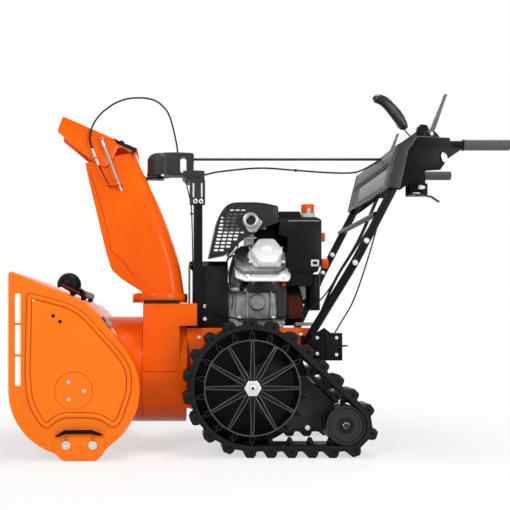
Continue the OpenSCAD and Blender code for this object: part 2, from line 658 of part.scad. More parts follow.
module belt_cover() color([0.13, 0.13, 0.14]) {
    x0 = -228;
    x1 = -96;
    outer = [[-cover_half, chassis_top], [-cover_half, 630], [-cover_half + 17, 647],
        [cover_half - 17, 647], [cover_half, 630], [cover_half, chassis_top]];
    difference() {
        plate_x(x0, x1 - x0) polygon(outer);
        plate_x(x0 + 3, x1 - x0) polygon([for (p = outer) [p[0] * (1 - 3 / cover_half), p[1] - 3]]);
        for (s = [-1, 1]) translate([x0, s * cover_half, 400]) rotate([0, 0, 45]) cube([26, 26, 600], center = true);
        rod_x(0, crank_z, -150, -90, 20);
    }
    difference() {
        box(x1 - 3, x1, -cover_half + 3, cover_half - 3, chassis_top, 644);
        rod_x(0, crank_z, -150, -90, 20);
    }
}

// ---------------------------------------------------------------- handlebars and console
foot_p = [163, -chassis_half - tube_r - seat, 366];
bend_p = [305, -grip_y, 632];
tube_path = [foot_p, foot_p + 0.88 * (bend_p - foot_p), [307, 1 - grip_y, 636], [326, -grip_y, 672],
    [445, -grip_y, 903], [462, -grip_y, 934], [486, -grip_y, 968], [516, -grip_y, 996],
    [552, -grip_y, grip_z], [rear_x - 4.5, -grip_y, grip_z]];
brace = [372, 787];
module handlebar_tubes() color([0.1, 0.1, 0.1]) {
    both_sides() {
        swept(tube_path, tube_r, 16);
        box(148, 170, -chassis_half - 8, -chassis_half, 360, 392);
    }
    rod_y(brace[0], brace[1], -grip_y, grip_y, 9);
}
module handle_grips() color([0.35, 0.35, 0.36]) both_sides() difference() {
    union() {
        rod_x(-grip_y, grip_z, rear_x - grip_l, rear_x, grip_r);
        rod_x(-grip_y, grip_z, rear_x - grip_l, rear_x - grip_l + 5, grip_r + 1.5);
    }
    rod_x(-grip_y, grip_z, rear_x - grip_l - 1, rear_x - 4, tube_r + shaft_gap);
}

console_half = grip_y + tube_r + 4;
console_t = 3;
console_path = [[405, 870], [423, 947], [440, 1012], [496, 1049], [512, 1037], [606, 1031],
    [612, 1002], [646, 995], [602, 965], [576, 928], [531, 925], [479, 887], [446, 863]];
panel_path = [[405, 870], [423, 947], [440, 1012]];
rod_z0 = 1004;
lever_c = [548, 1045];
speed_c = [585, 1000];
speed_y = 20;
lever_ear = 9;
module ears(c, y, gap, r, drop) for (s = [-1, 1]) {
    rod_y(c[0], c[1], y + s * (gap + 2) - 2, y + s * (gap + 2) + 2, r);
    box(c[0] - r, c[0] + r, y + s * (gap + 2) - 2, y + s * (gap + 2) + 2, min(c[1], c[1] - drop),
        max(c[1], c[1] - drop));
}
module console() color([0.11, 0.11, 0.12]) {
    difference() {
        plate_y(-console_half, 2 * console_half) polygon(concat(offset_path(panel_path, console_t),
            [for (i = [3 : len(console_path) - 1]) console_path[i]]));
        plate_y(-console_half + console_t, 2 * (console_half - console_t)) polygon(concat(
            [[404, 840]], offset_path(panel_path, 2 * console_t), [[497, 1045], [512, 1034],
            [603, 1028], [700, 1000], [700, 840]]));
        both_sides() rod_x(-grip_y, grip_z, 560, 700, tube_r + 0.4);
        rod_x(chute_y, rod_z0, 400, 470, 8);
        box(568, 600, chute_y - 30, chute_y + 30, 1015, 1050);
        box(574, 620, speed_y - 9, speed_y + 9, 1015, 1050);
    }
    both_sides() {
        ears(lever_c, -grip_y, lever_ear, 8, 14);
        rod_y(lever_c[0], lever_c[1], -grip_y - lever_ear - 4, -grip_y + lever_ear + 4, 4);
    }
    ears(speed_c, speed_y, 7, 8, -31);
    rod_y(speed_c[0], speed_c[1], speed_y - 11, speed_y + 11, 4);
    box(540, 570, -28, 40, 930, 1032);
}
module console_panel() color([0.42, 0.43, 0.44]) difference() {
    plate_y(-console_half, 2 * console_half) polygon(strip(panel_path, console_t));
    translate([414, 0, 908]) rotate([0, 13, 0]) box(-12, 2, -230, 230, -24, 66);
    rod_x(chute_y, rod_z0, 400, 470, 8);
}
module clutch_lever() {
    tilt = 69;
    translate([lever_c[0], 0, lever_c[1]]) rotate([0, -tilt, 0]) difference() {
        union() {
            plate_y(-grip_y - lever_ear + seat, 2 * lever_ear - 2 * seat) polygon([[0, -7], [30, -8],
                [lever_l * 0.9, -4], [lever_l * 0.9, 3], [30, 6], [0, 7]]);
            rod_y(0, 0, -grip_y - lever_ear + seat, -grip_y + lever_ear - seat, 8);
            rod_y(lever_l * 0.9, -0.5, -grip_y - lever_ear + seat, -grip_y + lever_ear - seat, 4.5);
        }
        rod_y(0, 0, -grip_y - 20, -grip_y + 20, 4 + shaft_gap);
    }
}
module left_clutch_lever() color([0.45, 0.46, 0.47]) clutch_lever();
module right_clutch_lever() color([0.45, 0.46, 0.47]) mirror([0, 1, 0]) clutch_lever();
module speed_lever() color([0.1, 0.1, 0.1]) difference() {
    union() {
        rod_y(speed_c[0], speed_c[1], speed_y - 6.5, speed_y + 6.5, 9);
        translate([speed_c[0], speed_y, speed_c[1]]) rotate([0, 14, 0]) {
            translate([0, 0, 4]) cylinder(r = 5, h = 100);
            translate([0, 0, 100]) rotate([0, 0, 22.5]) cylinder(r = 24, h = 40, $fn = 8);
            translate([0, 0, 88]) cylinder(r = 13, h = 12, $fn = 8);
            translate([0, 0, 140]) cylinder(r = 16, h = 10, $fn = 8);
        }
    }
    rod_y(speed_c[0], speed_c[1], speed_y - 10, speed_y + 10, 4 + shaft_gap);
}

// Release box for the track tilt, under the console
release_y = 0;
module mode_release_box() color([0.08, 0.08, 0.08]) {
    difference() {
        box(556, 620, release_y - 26, release_y + 26, 890, 930);
        rod_y(600, 896, release_y - 30, release_y + 30, 3 + shaft_gap);
        box(585, 630, release_y - 10, release_y + 10, 880, 905);
    }
    rod_y(596, 915, release_y - 30, release_y - 26, 13);
    rod_y(600, 896, release_y - 26, release_y + 26, 3);
}
module mode_release_lever() color([0.7, 0.7, 0.7]) difference() {
    union() {
        rod_y(600, 896, release_y - 8, release_y + 8, 5);
        plate_y(release_y - 8, 16) polygon([[600, 891], [640, 884], [668, 866], [671, 869], [642, 888],
            [600, 897]]);
    }
    rod_y(600, 896, release_y - 20, release_y + 20, 3 + shaft_gap);
}

// Joystick and the rod that it turns
module control_rod() color([0.3, 0.3, 0.3]) rod_x(chute_y, rod_z0, -229, 618, 4.5);
module joystick() color([0.1, 0.1, 0.1]) {
    difference() {
        rod_x(chute_y, rod_z0, 588, 612, 12);
        rod_x(chute_y, rod_z0, 580, 620, 4.5 + shaft_gap);
    }
    swept([[596, chute_y, rod_z0 + 11], [572, chute_y, 1050], [541, chute_y, 1093], [530, chute_y, 1108]], 4, 12);
    difference() {
        swept([[533, chute_y, 1103], [527, chute_y, 1113], [508, chute_y, 1148], [487, chute_y, 1185],
            [466, chute_y, 1210], [440, chute_y, 1219], [415, chute_y, 1212], [404, chute_y, 1206]],
            [13, 16, 18.5, 19, 19, 18, 14, 6], 16);
        trigger_frame() box(-1, 61, chute_y - 7.5, chute_y + 7.5, -24, -8);
    }
}
module trigger_frame() translate([522, 0, 1122]) rotate([0, 240.8, 0]) mirror([0, 0, 1]) children();
module joystick_trigger() color([0.5, 0.5, 0.5]) trigger_frame()
    box(0.5, 59.5, chute_y - 7, chute_y + 7, -22, -13);

// ---------------------------------------------------------------- chute
module chute_post() color([0.1, 0.1, 0.1]) difference() {
    box(post_x - post_w / 2, post_x + post_w / 2, post_y - post_w / 2, post_y + post_w / 2, chassis_top + 2, 918);
    box(post_x - post_w / 2 + 3, post_x + post_w / 2 - 3, post_y - post_w / 2 + 3,
        post_y + post_w / 2 - 3, chassis_top, 915);
}
head_z0 = 944;
head_z1 = 1024;
head_r = 46;
chute_shaft_r = 8;
module gear_head() color([0.13, 0.13, 0.14]) {
    difference() {
        union() {
            translate([chute_x, chute_y, head_z0]) cylinder(r = head_r, h = head_z1 - head_z0 - 12);
            translate([chute_x, chute_y, head_z0 + 60]) cylinder(r1 = head_r, r2 = head_r - 14,
                h = head_z1 - head_z0 - 60);
            box(chute_x + 30, -212, chute_y - 30, chute_y + 30, head_z0 + 1, head_z1 - 4);
            box(-236, -178, post_y - post_w / 2 - 6, chute_y + 30, 919, 955);
            box(-226, -178, post_y - post_w / 2 - 6, post_y + post_w / 2 + 6, 836, 920);
        }
        translate([chute_x, chute_y, head_z0 + 14]) cylinder(r = head_r - 6, h = 44);
        translate([chute_x, chute_y, head_z0 - 1]) cylinder(r = chute_shaft_r + shaft_gap, h = 30);
        box(-260, -236, chute_y - 31, chute_y + 31, head_z0 + 8, head_z1 - 12);
        box(-231, -200, chute_y - 12, chute_y + 12, rod_z0 - 12, rod_z0 + 30);
        box(post_x - post_w / 2 - 0.2, post_x + post_w / 2 + 0.2, post_y - post_w / 2 - 0.2,
            post_y + post_w / 2 + 0.2, 830, 918.2);
        for (x = [-218, -190]) box(x, x + 4, post_y - post_w / 2 - 7, post_y - post_w / 2, 858, 910);
    }
    difference() {
        box(-222, -212, chute_y - 20, chute_y + 20, rod_z0 - 14, rod_z0 + 14);
        rod_x(chute_y, rod_z0, -223, -211, 4.5 + shaft_gap);
    }
}

hinge_c = [-414, 1027];
// Wall sections: front x, front z, back x, back z, half width
corner_r = 40;
sections = [
    [-392, 516, -246, 516, chute_half_w], [-392, 543, -246, 533, chute_half_w],
    [-485, 606, -258, 612, chute_half_w], [-505, 647, -272, 672, chute_half_w],
    [-530, 745, -305, 775, chute_half_w - 2], [-554, 848, -345, 872, mouth_half_w + 4],
    [-573, 930, -384, 949, mouth_half_w + 1], [-584, 978, -411, hinge_c[1] - 8, mouth_half_w]];
function section_uv(l, hw, inset) = let (r = corner_r - inset, c = corner_r) concat([[l, -hw + inset]],
    [for (a = [-90 : -22.5 : -180]) [c + r * cos(a), -hw + corner_r + r * sin(a)]],
    [for (a = [180 : -22.5 : 90]) [c + r * cos(a), hw - corner_r + r * sin(a)]], [[l, hw - inset]]);
function section_points(s) = let (b = [s[2], s[3]], f = [s[0], s[1]], d = unit(f - b), l = norm(f - b))
    [for (q = concat(section_uv(l, s[4], 0), reversed(section_uv(l, s[4], chute_t))))
        [b[0] + d[0] * q[0], chute_y + q[1], b[1] + d[1] * q[0]]];
module chute_shell() {
    m = len(section_points(sections[0]));
    e = len(sections) - 1;
    pts = [for (s = sections) each section_points(s)];
    polyhedron(pts, concat([for (i = [0 : e - 1], k = [0 : m - 1])
            each tri([i * m + k, (i + 1) * m + k, (i + 1) * m + (k + 1) % m, i * m + (k + 1) % m])],
        [for (k = [0 : m / 2 - 2]) each tri([k, k + 1, m - 2 - k, m - 1 - k])],
        [for (k = [0 : m / 2 - 2]) each tri([e * m + m - 1 - k, e * m + m - 2 - k, e * m + k + 1,
            e * m + k])]), convexity = 10);
}
arm_z = head_z0 - 11;
module chute() color([0.95, 0.35, 0.02]) {
    chute_shell();
    difference() {
        translate([chute_x, chute_y, ring_z + seat]) cylinder(r = ring_r, h = 7);
        translate([chute_x, chute_y, ring_z - 1]) cylinder(r = 74, h = 12);
    }
    box(-382, chute_x + 14, chute_y - 20, chute_y + 20, arm_z, arm_z + 6);
    translate([chute_x, chute_y, arm_z]) cylinder(r = chute_shaft_r, h = 46);
    translate([chute_x, chute_y, head_z0 + 30]) cylinder(r = 34, h = 10);
    difference() {
        box(-508, -456, chute_y - mouth_half_w - 34, chute_y - mouth_half_w - 3, 900, 904);
        rod_z(-467, cable_y, 890, 910, 5);
    }
    box(-505, -460, chute_y - mouth_half_w - 7, chute_y - mouth_half_w - 1, 884, 904);
    rod_y(hinge_c[0], hinge_c[1], chute_y - 60, chute_y + 60, pin_r);
    for (y = [-60, -2, 56]) box(-418, -405, chute_y + y, chute_y + y + 4, hinge_c[1] - 16, hinge_c[1] + 1);
}

ear_y = mouth_half_w + 2;
pin_r = 3.5;
ear_path = [[-428, 1034], [-490, 1061], [-659, 1136], [-679, 1084], [-572, 996], [-552, 981],
    [-534, 966], [-512, 964], [-498, 978], [-473, 1028]];
peg = [-528, 1058];                             // spring peg on the deflector
clip = [-547, 993];                             // cable tab on the deflector
module deflector() color([0.95, 0.35, 0.02]) {
    for (s = [-1, 1]) plate_y(chute_y + s * (ear_y + chute_t / 2) - chute_t / 2, chute_t) polygon(ear_path);
    plate_y(chute_y - ear_y, 2 * ear_y) polygon(strip([ear_path[0], ear_path[1], ear_path[2]], -chute_t));
    translate([clip[0], 0, clip[1]]) rotate([0, -24, 0]) difference() {
        box(-11, 11, chute_y - ear_y - 22, chute_y - ear_y - chute_t, -2, 2);
        translate([0, chute_y - ear_y - 13, -5]) cylinder(r = 5.4, h = 10);
    }
    rod_y(peg[0], peg[1], chute_y - ear_y - 18, chute_y - ear_y, 4);
}
module deflector_hinge() color([0.08, 0.08, 0.08]) {
    plate_y(chute_y - 55, 110) polygon(strip([ear_path[0], ear_path[1]], 5));
    difference() {
        union() for (y = [-55, 3]) {
            rod_y(hinge_c[0], hinge_c[1], chute_y + y, chute_y + y + 52, pin_r + 3);
            plate_y(chute_y + y, 52) polygon([hinge_c + [0, 6], ear_path[0] + [-2, 7], ear_path[0] + [0.3, 1.2],
                hinge_c + [-5, 0]]);
        }
        rod_y(hinge_c[0], hinge_c[1], chute_y - 60, chute_y + 60, pin_r + shaft_gap);
    }
    for (y = [-44, -15, 15, 44]) translate([-462, chute_y + y, 1050]) rotate([0, 23, 0]) cylinder(r = 7, h = 9);
}
cable_y = chute_y - ear_y - 13;
module deflector_spring() color([0.6, 0.6, 0.6]) {
    swept([[peg[0] + 1.8, cable_y, peg[1] - 4.7], [-471, cable_y, 912]], 5.5, 10);
    swept([[-470.8, cable_y, 911.6], [-459, cable_y, 880]], 3, 8);
    swept([[-537, cable_y, 968.5], [-505, cable_y, 905]], 1.8, 6);
}
module deflector_cable() color([0.08, 0.08, 0.08]) {
    swept([[-557.5, cable_y, 1020], [-562, cable_y, 1033], [-567, cable_y, 1050], [-567, cable_y + 2, 1072],
        [-557, cable_y + 6, 1106], [-535, cable_y + 10, 1140], [-510, -142, 1165], [-480, -134, 1187],
        [-440, -126, 1203], [-395, -118, 1208], [-360, -112, 1205], [-332, -107, 1193],
        [-305, -103, 1165], [-292, -101, 1135], [-282, -100, 1098], [-273, -100, 1055],
        [-268, -100, head_z1 - 3.5]], 3, 8);
    swept([[-537, cable_y, 968.5], [-557.5, cable_y, 1020]], 4, 8);
}

// ---------------------------------------------------------------- clean-out tool and cables
module clean_out_tool() color([0.09, 0.09, 0.09]) {
    tool = brow + [-27, 34];
    blade = tool + [-42, 38];
    difference() {
        translate([blade[0], -190, blade[1]]) sphere(r = 38);
        translate([blade[0] - 6, -190, blade[1] - 6]) sphere(r = 35);
        translate([blade[0], -190, blade[1]]) rotate([0, -50, 0]) box(-60, -6, -60, 60, -60, 60);
    }
    swept([[tool[0] - 14, -190, tool[1] + 22], [tool[0] - 2, -182, tool[1] + 6],
        [tool[0], -160, tool[1]], [tool[0], 170, tool[1]]], 10, 12);
    difference() {
        for (y = [-120, 120]) box(tool[0] - 8, tool[0] + 8, y - 8, y + 8, tool[1] - 44, tool[1]);
        plate_y(-half_w, housing_w) polygon(plate_path);
    }
}
module control_cables() color([0.06, 0.06, 0.06]) {
    swept([[-177, -100, 946], [-120, -100, 958], [15, -100, 970], [140, -100, 962], [258, -100, 954],
        [337, -100, 954], [376, -100, 966], [408, -100, 984], [428, -100, 992]], 3, 8);
    swept([[-174, -129.8, 494], [-150, -132, 474], [-90, -134, 453], [-20, -138, 446], [75, -142, 450],
        [160, -150, 470], [221, -156, 519], [275, -170, 600], [345, -200, 715], [408, -215, 820],
        [440, -215, 890]], 2.5, 6);
    for (k = [0 : 1]) swept([[232, 40 + k * 22, 402], [250, 10 + k * 22, 470], [290, -60 + k * 26, 590],
        [362, -90 + k * 30, 720], [432, -100 + k * 34, 880]], 3, 6);
    swept([[268, -138, 402], [290, -142, 440], [330, -150, 515], [376, -166, 660], [436, -176, 880]], 2.5, 6);
}

auger_housing();
housing_side_plates();
scraper_bar();
skid_shoes();
frame_bolts();
shaft_bearings();
auger_gearbox();
belt_cover();
chassis_frame();
transmission();
engine_block();
valve_cover();
muffler();
muffler_guard();
air_box();
fuel_tank();
electric_starter();
recoil_housing();
drive_belt();
handlebar_tubes();
console();
console_panel();
handle_grips();
mode_release_box();
rear_bracket();
chute_post();
gear_head();
clean_out_tool();
control_cables();
auger_shaft();
auger_rakes();
worm_wheel();
impeller_shaft();
impeller_fan();
impeller_pulley();
crankshaft();
engine_pulley();
left_drive_wheel();
left_axle();
right_drive_wheel();
right_axle();
track_frame();
rubber_tracks();
left_idler_wheels();
right_idler_wheels();
chute();
deflector();
deflector_hinge();
deflector_cable();
deflector_spring();
control_rod();
joystick();
joystick_trigger();
left_clutch_lever();
right_clutch_lever();
speed_lever();
mode_release_lever();
fuel_cap();
choke_knob();
throttle_knob();
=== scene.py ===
"""Studio scene of a tracked two-stage snow blower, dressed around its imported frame.

X runs from the auger to the operator, Y from the operator's left to the right, Z is up.
All lengths are in metres.
"""

import logging
from collections.abc import Callable, Iterable, Iterator, Sequence
from contextlib import contextmanager
from dataclasses import dataclass
from enum import Enum
from math import acos, atan2, ceil, copysign, cos, dist, hypot, pi, radians, sin, sqrt
from typing import ClassVar

import bmesh
import bpy
from mathutils import Matrix, Vector
from mathutils.geometry import delaunay_2d_cdt


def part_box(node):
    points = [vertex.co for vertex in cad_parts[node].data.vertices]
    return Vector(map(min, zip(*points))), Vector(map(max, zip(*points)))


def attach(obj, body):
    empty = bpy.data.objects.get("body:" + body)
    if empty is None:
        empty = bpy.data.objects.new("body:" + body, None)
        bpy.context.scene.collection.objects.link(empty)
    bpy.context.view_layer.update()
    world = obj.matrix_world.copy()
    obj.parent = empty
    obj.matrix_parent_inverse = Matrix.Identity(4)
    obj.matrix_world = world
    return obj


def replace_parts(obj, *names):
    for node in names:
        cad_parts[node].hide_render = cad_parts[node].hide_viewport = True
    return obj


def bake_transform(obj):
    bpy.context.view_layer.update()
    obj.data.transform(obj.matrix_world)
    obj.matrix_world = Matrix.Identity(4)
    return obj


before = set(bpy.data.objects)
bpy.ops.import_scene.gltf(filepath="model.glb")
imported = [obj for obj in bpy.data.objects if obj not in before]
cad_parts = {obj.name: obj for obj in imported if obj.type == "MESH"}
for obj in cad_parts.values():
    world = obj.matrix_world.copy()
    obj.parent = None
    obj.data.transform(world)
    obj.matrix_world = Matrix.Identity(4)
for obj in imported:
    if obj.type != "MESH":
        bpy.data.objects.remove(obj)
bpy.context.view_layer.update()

Flat = tuple[float, float]
Point = tuple[float, float, float]
Colour = tuple[float, float, float]
Face = tuple[int, ...]
Mesh = bpy.types.Mesh
Piece = bpy.types.Object
Outline = Sequence[Flat]
Socket = bpy.types.NodeSocket
NodeLooks = dict[str, tuple[str, float]]

log = logging.getLogger("snow_blower")
NODES: dict[str, Piece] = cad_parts
OUT: Point = (0, -1, 0)
UP: Point = (0, 0, 1)
WHITE: Colour = (1.0, 1.0, 1.0)
SHARP = radians(32)


class Side(Enum):
    """Side of the machine, as the sign of Y."""

    LEFT = -1
    RIGHT = 1

    @property
    def out(self) -> Point:
        """Return the way out of this side."""
        return (0, self.value, 0)

    @property
    def word(self) -> str:
        """Return the side's name as bodies and pieces hold it."""
        return self.name.lower()


class Plane(Enum):
    """Plane that a flat outline is drawn in, with the axes of its two coordinates."""

    XZ = "xz"
    YZ = "yz"
    XY = "xy"

    def point(self, u: float, v: float, w: float) -> Vector:
        """Return the place of outline point (u, v) at distance w from the plane."""
        if self is Plane.XZ:
            return Vector((u, w, v))
        return Vector((w, u, v) if self is Plane.YZ else (u, v, w))


# ---- finishes


class Graph:
    """Node tree, built a node at a time."""

    def __init__(self, tree: bpy.types.NodeTree) -> None:
        """Start with the nodes that a tree holds."""
        self.tree = tree

    def add(self, kind: str, inputs: dict[str | int, object] | None = None,
            **settings: object) -> bpy.types.Node:
        """Add a node.

        Args:
            kind: Blender's identifier of the node.
            inputs: Output or plain value for each input that is filled.
            settings: Properties of the node to set.

        Returns:
            The new node.
        """
        node = self.tree.nodes.new(kind)
        for name, value in settings.items():
            setattr(node, name, value)
        self.fill(node, inputs or {})
        return node

    def fill(self, node: bpy.types.Node, inputs: dict[str | int, object]) -> None:
        """Link a node's inputs to outputs, or set them to plain values.

        Args:
            node: Node to fill.
            inputs: Output, number, word or colour for each input.
        """
        for name, value in inputs.items():
            socket = node.inputs[name]
            if isinstance(value, Socket):
                self.tree.links.new(value, socket)
            elif isinstance(value, tuple) and len(value) < len(socket.default_value):
                socket.default_value = (*value, 1.0)
            else:
                socket.default_value = value

    def seen_directly(self) -> Socket:
        """Return 1 for rays from the camera, mirror rays and rays through glass."""
        path = self.add("ShaderNodeLightPath").outputs
        total = path["Is Camera Ray"]
        for name in ("Is Glossy Ray", "Is Transmission Ray"):
            total = self.add("ShaderNodeMath", {0: total, 1: path[name]}, operation="MAXIMUM").outputs[0]
        return total


class Paint(Graph):
    """Node tree of one material, with object coordinates to hang its patterns on."""

    def __init__(self, name: str) -> None:
        """Start a material with a Principled shader."""
        self.material = bpy.data.materials.new(name)
        self.material.use_nodes = True
        super().__init__(self.material.node_tree)
        self.place = self.add("ShaderNodeTexCoord").outputs["Object"]

    def stretched(self, scale: Point) -> Socket:
        """Return object coordinates scaled along each axis."""
        return self.add("ShaderNodeMapping", {"Scale": scale, "Vector": self.place}).outputs["Vector"]

    def noise(self, scale: float, detail: float = 3.0, rough: float = 0.5,
              place: Socket | None = None) -> Socket:
        """Add a noise texture.

        Args:
            scale: Features per metre.
            detail: Octaves of finer noise.
            rough: Share of the finer octaves.
            place: Coordinates, or None for object coordinates.

        Returns:
            The noise's value.
        """
        inputs = {"Vector": place or self.place, "Scale": scale, "Detail": detail, "Roughness": rough}
        return self.add("ShaderNodeTexNoise", inputs).outputs["Fac"]

    def cells(self, scale: float) -> Socket:
        """Return the distance in a Voronoi pattern with that many cells per metre."""
        return self.add("ShaderNodeTexVoronoi", {"Vector": self.place, "Scale": scale}).outputs["Distance"]

    def spread(self, value: Socket, low: float, high: float, lo: float = 0.3, hi: float = 0.7,
               fade: str = "LINEAR") -> Socket:
        """Map a value from [lo, hi] to [low, high].

        Args:
            value: Output to map.
            low: Result at lo.
            high: Result at hi.
            lo: Lowest input.
            hi: Highest input.
            fade: Blender's name of the curve between them.

        Returns:
            The mapped value.
        """
        inputs = {"Value": value, "From Min": lo, "From Max": hi, "To Min": low, "To Max": high}
        return self.add("ShaderNodeMapRange", inputs, interpolation_type=fade).outputs["Result"]

    def blend(self, share: Socket, first: Colour, second: Colour | Socket) -> Socket:
        """Return a mix of two colours, with share the part of the second."""
        inputs = {0: share, 6: first, 7: second}
        return self.add("ShaderNodeMix", inputs, data_type="RGBA", blend_type="MIX").outputs[2]

    def relief(self, layers: Sequence[tuple[Socket, float]]) -> None:
        """Bump the surface with layers of height, each with its depth in metres."""
        normal: dict[str | int, object] = {}
        for height, depth in layers:
            bump = self.add("ShaderNodeBump", {"Distance": depth, "Height": height, **normal})
            normal = {"Normal": bump.outputs["Normal"]}
        self.surface(**normal)

    def surface(self, **values: object) -> None:
        """Set inputs of the shader by name, with underscores for spaces."""
        shader = self.tree.nodes["Principled BSDF"]
        self.fill(shader, {name.replace("_", " "): value for name, value in values.items()})


@dataclass(frozen=True)
class PowderCoat:
    """Baked powder coat on pressed steel, with faint orange peel and handling dust."""

    name: str
    slot: str
    colour: Colour
    shade: Colour
    rough: float = 0.3
    coat: float = 0.0
    peel: float = 0.00009
    shine: float = 0.2

    def material(self) -> bpy.types.Material:
        """Return the coat's material."""
        paint = Paint(self.name)
        cloud = paint.spread(paint.noise(5.0, 4.0), 0.0, 1.0, 0.35, 0.7)
        speck = paint.spread(paint.noise(420.0, 2.0, 0.6), 0.0, 0.12, 0.55, 0.8)
        tint = paint.blend(cloud, self.colour, self.shade)
        dusted = paint.blend(speck, tint, tuple(min(1.0, c * 1.15 + 0.01) for c in self.colour))
        smear = paint.spread(paint.noise(11.0, 5.0, 0.6), self.rough - 0.05, self.rough + 0.09)
        paint.surface(Base_Color=dusted, Roughness=smear, Coat_Weight=self.coat, Coat_Roughness=0.12,
                      Specular_IOR_Level=self.shine)
        paint.relief([(paint.noise(260.0, 2.0), self.peel), (paint.noise(2.6, 2.0), 0.0012)])
        return paint.material


@dataclass(frozen=True)
class Moulding:
    """Moulded plastic or rubber with a fine grain and slight wear to a paler tone."""

    name: str
    slot: str
    colour: Colour
    worn: Colour
    rough: float = 0.45
    grain: float = 900.0
    depth: float = 0.00012
    sheen: float = 0.0
    shine: float = 0.16

    def material(self) -> bpy.types.Material:
        """Return the moulding's material."""
        paint = Paint(self.name)
        rub = paint.spread(paint.noise(14.0, 6.0, 0.62), 0.0, 0.75, 0.48, 0.78)
        base = paint.blend(rub, self.colour, self.worn)
        grit = paint.spread(paint.noise(self.grain, 2.0), self.rough - 0.07, self.rough + 0.1)
        paint.surface(Base_Color=base, Roughness=grit, Sheen_Weight=self.sheen, Specular_IOR_Level=self.shine)
        paint.relief([(paint.cells(self.grain), self.depth), (paint.noise(30.0, 3.0), 0.0002)])
        return paint.material


@dataclass(frozen=True)
class Metal:
    """Bare, plated or cast metal, with drawn lines along one axis or a cast grain."""

    name: str
    slot: str
    colour: Colour
    tarnish: Colour
    rough: float = 0.3
    lines: Point = (120.0, 120.0, 120.0)
    grain: float = 300.0
    depth: float = 0.00005
    metallic: float = 1.0

    def material(self) -> bpy.types.Material:
        """Return the metal's material."""
        paint = Paint(self.name)
        drawn = paint.noise(1.0, 4.0, 0.6, paint.stretched(self.lines))
        stain = paint.spread(paint.noise(18.0, 6.0, 0.6), 0.0, 0.8, 0.42, 0.75)
        base = paint.blend(stain, self.colour, self.tarnish)
        worn = paint.spread(drawn, self.rough - 0.06, self.rough + 0.14)
        paint.surface(Base_Color=base, Roughness=worn, Metallic=self.metallic)
        paint.relief([(drawn, self.depth), (paint.noise(self.grain, 3.0), self.depth)])
        return paint.material


def grey(level: float) -> Colour:
    """Return a neutral colour."""
    return (level, level, level)


ORANGE: Colour = (0.9, 0.129, 0.002)
ORANGE_DEEP: Colour = (0.84, 0.1, 0.003)

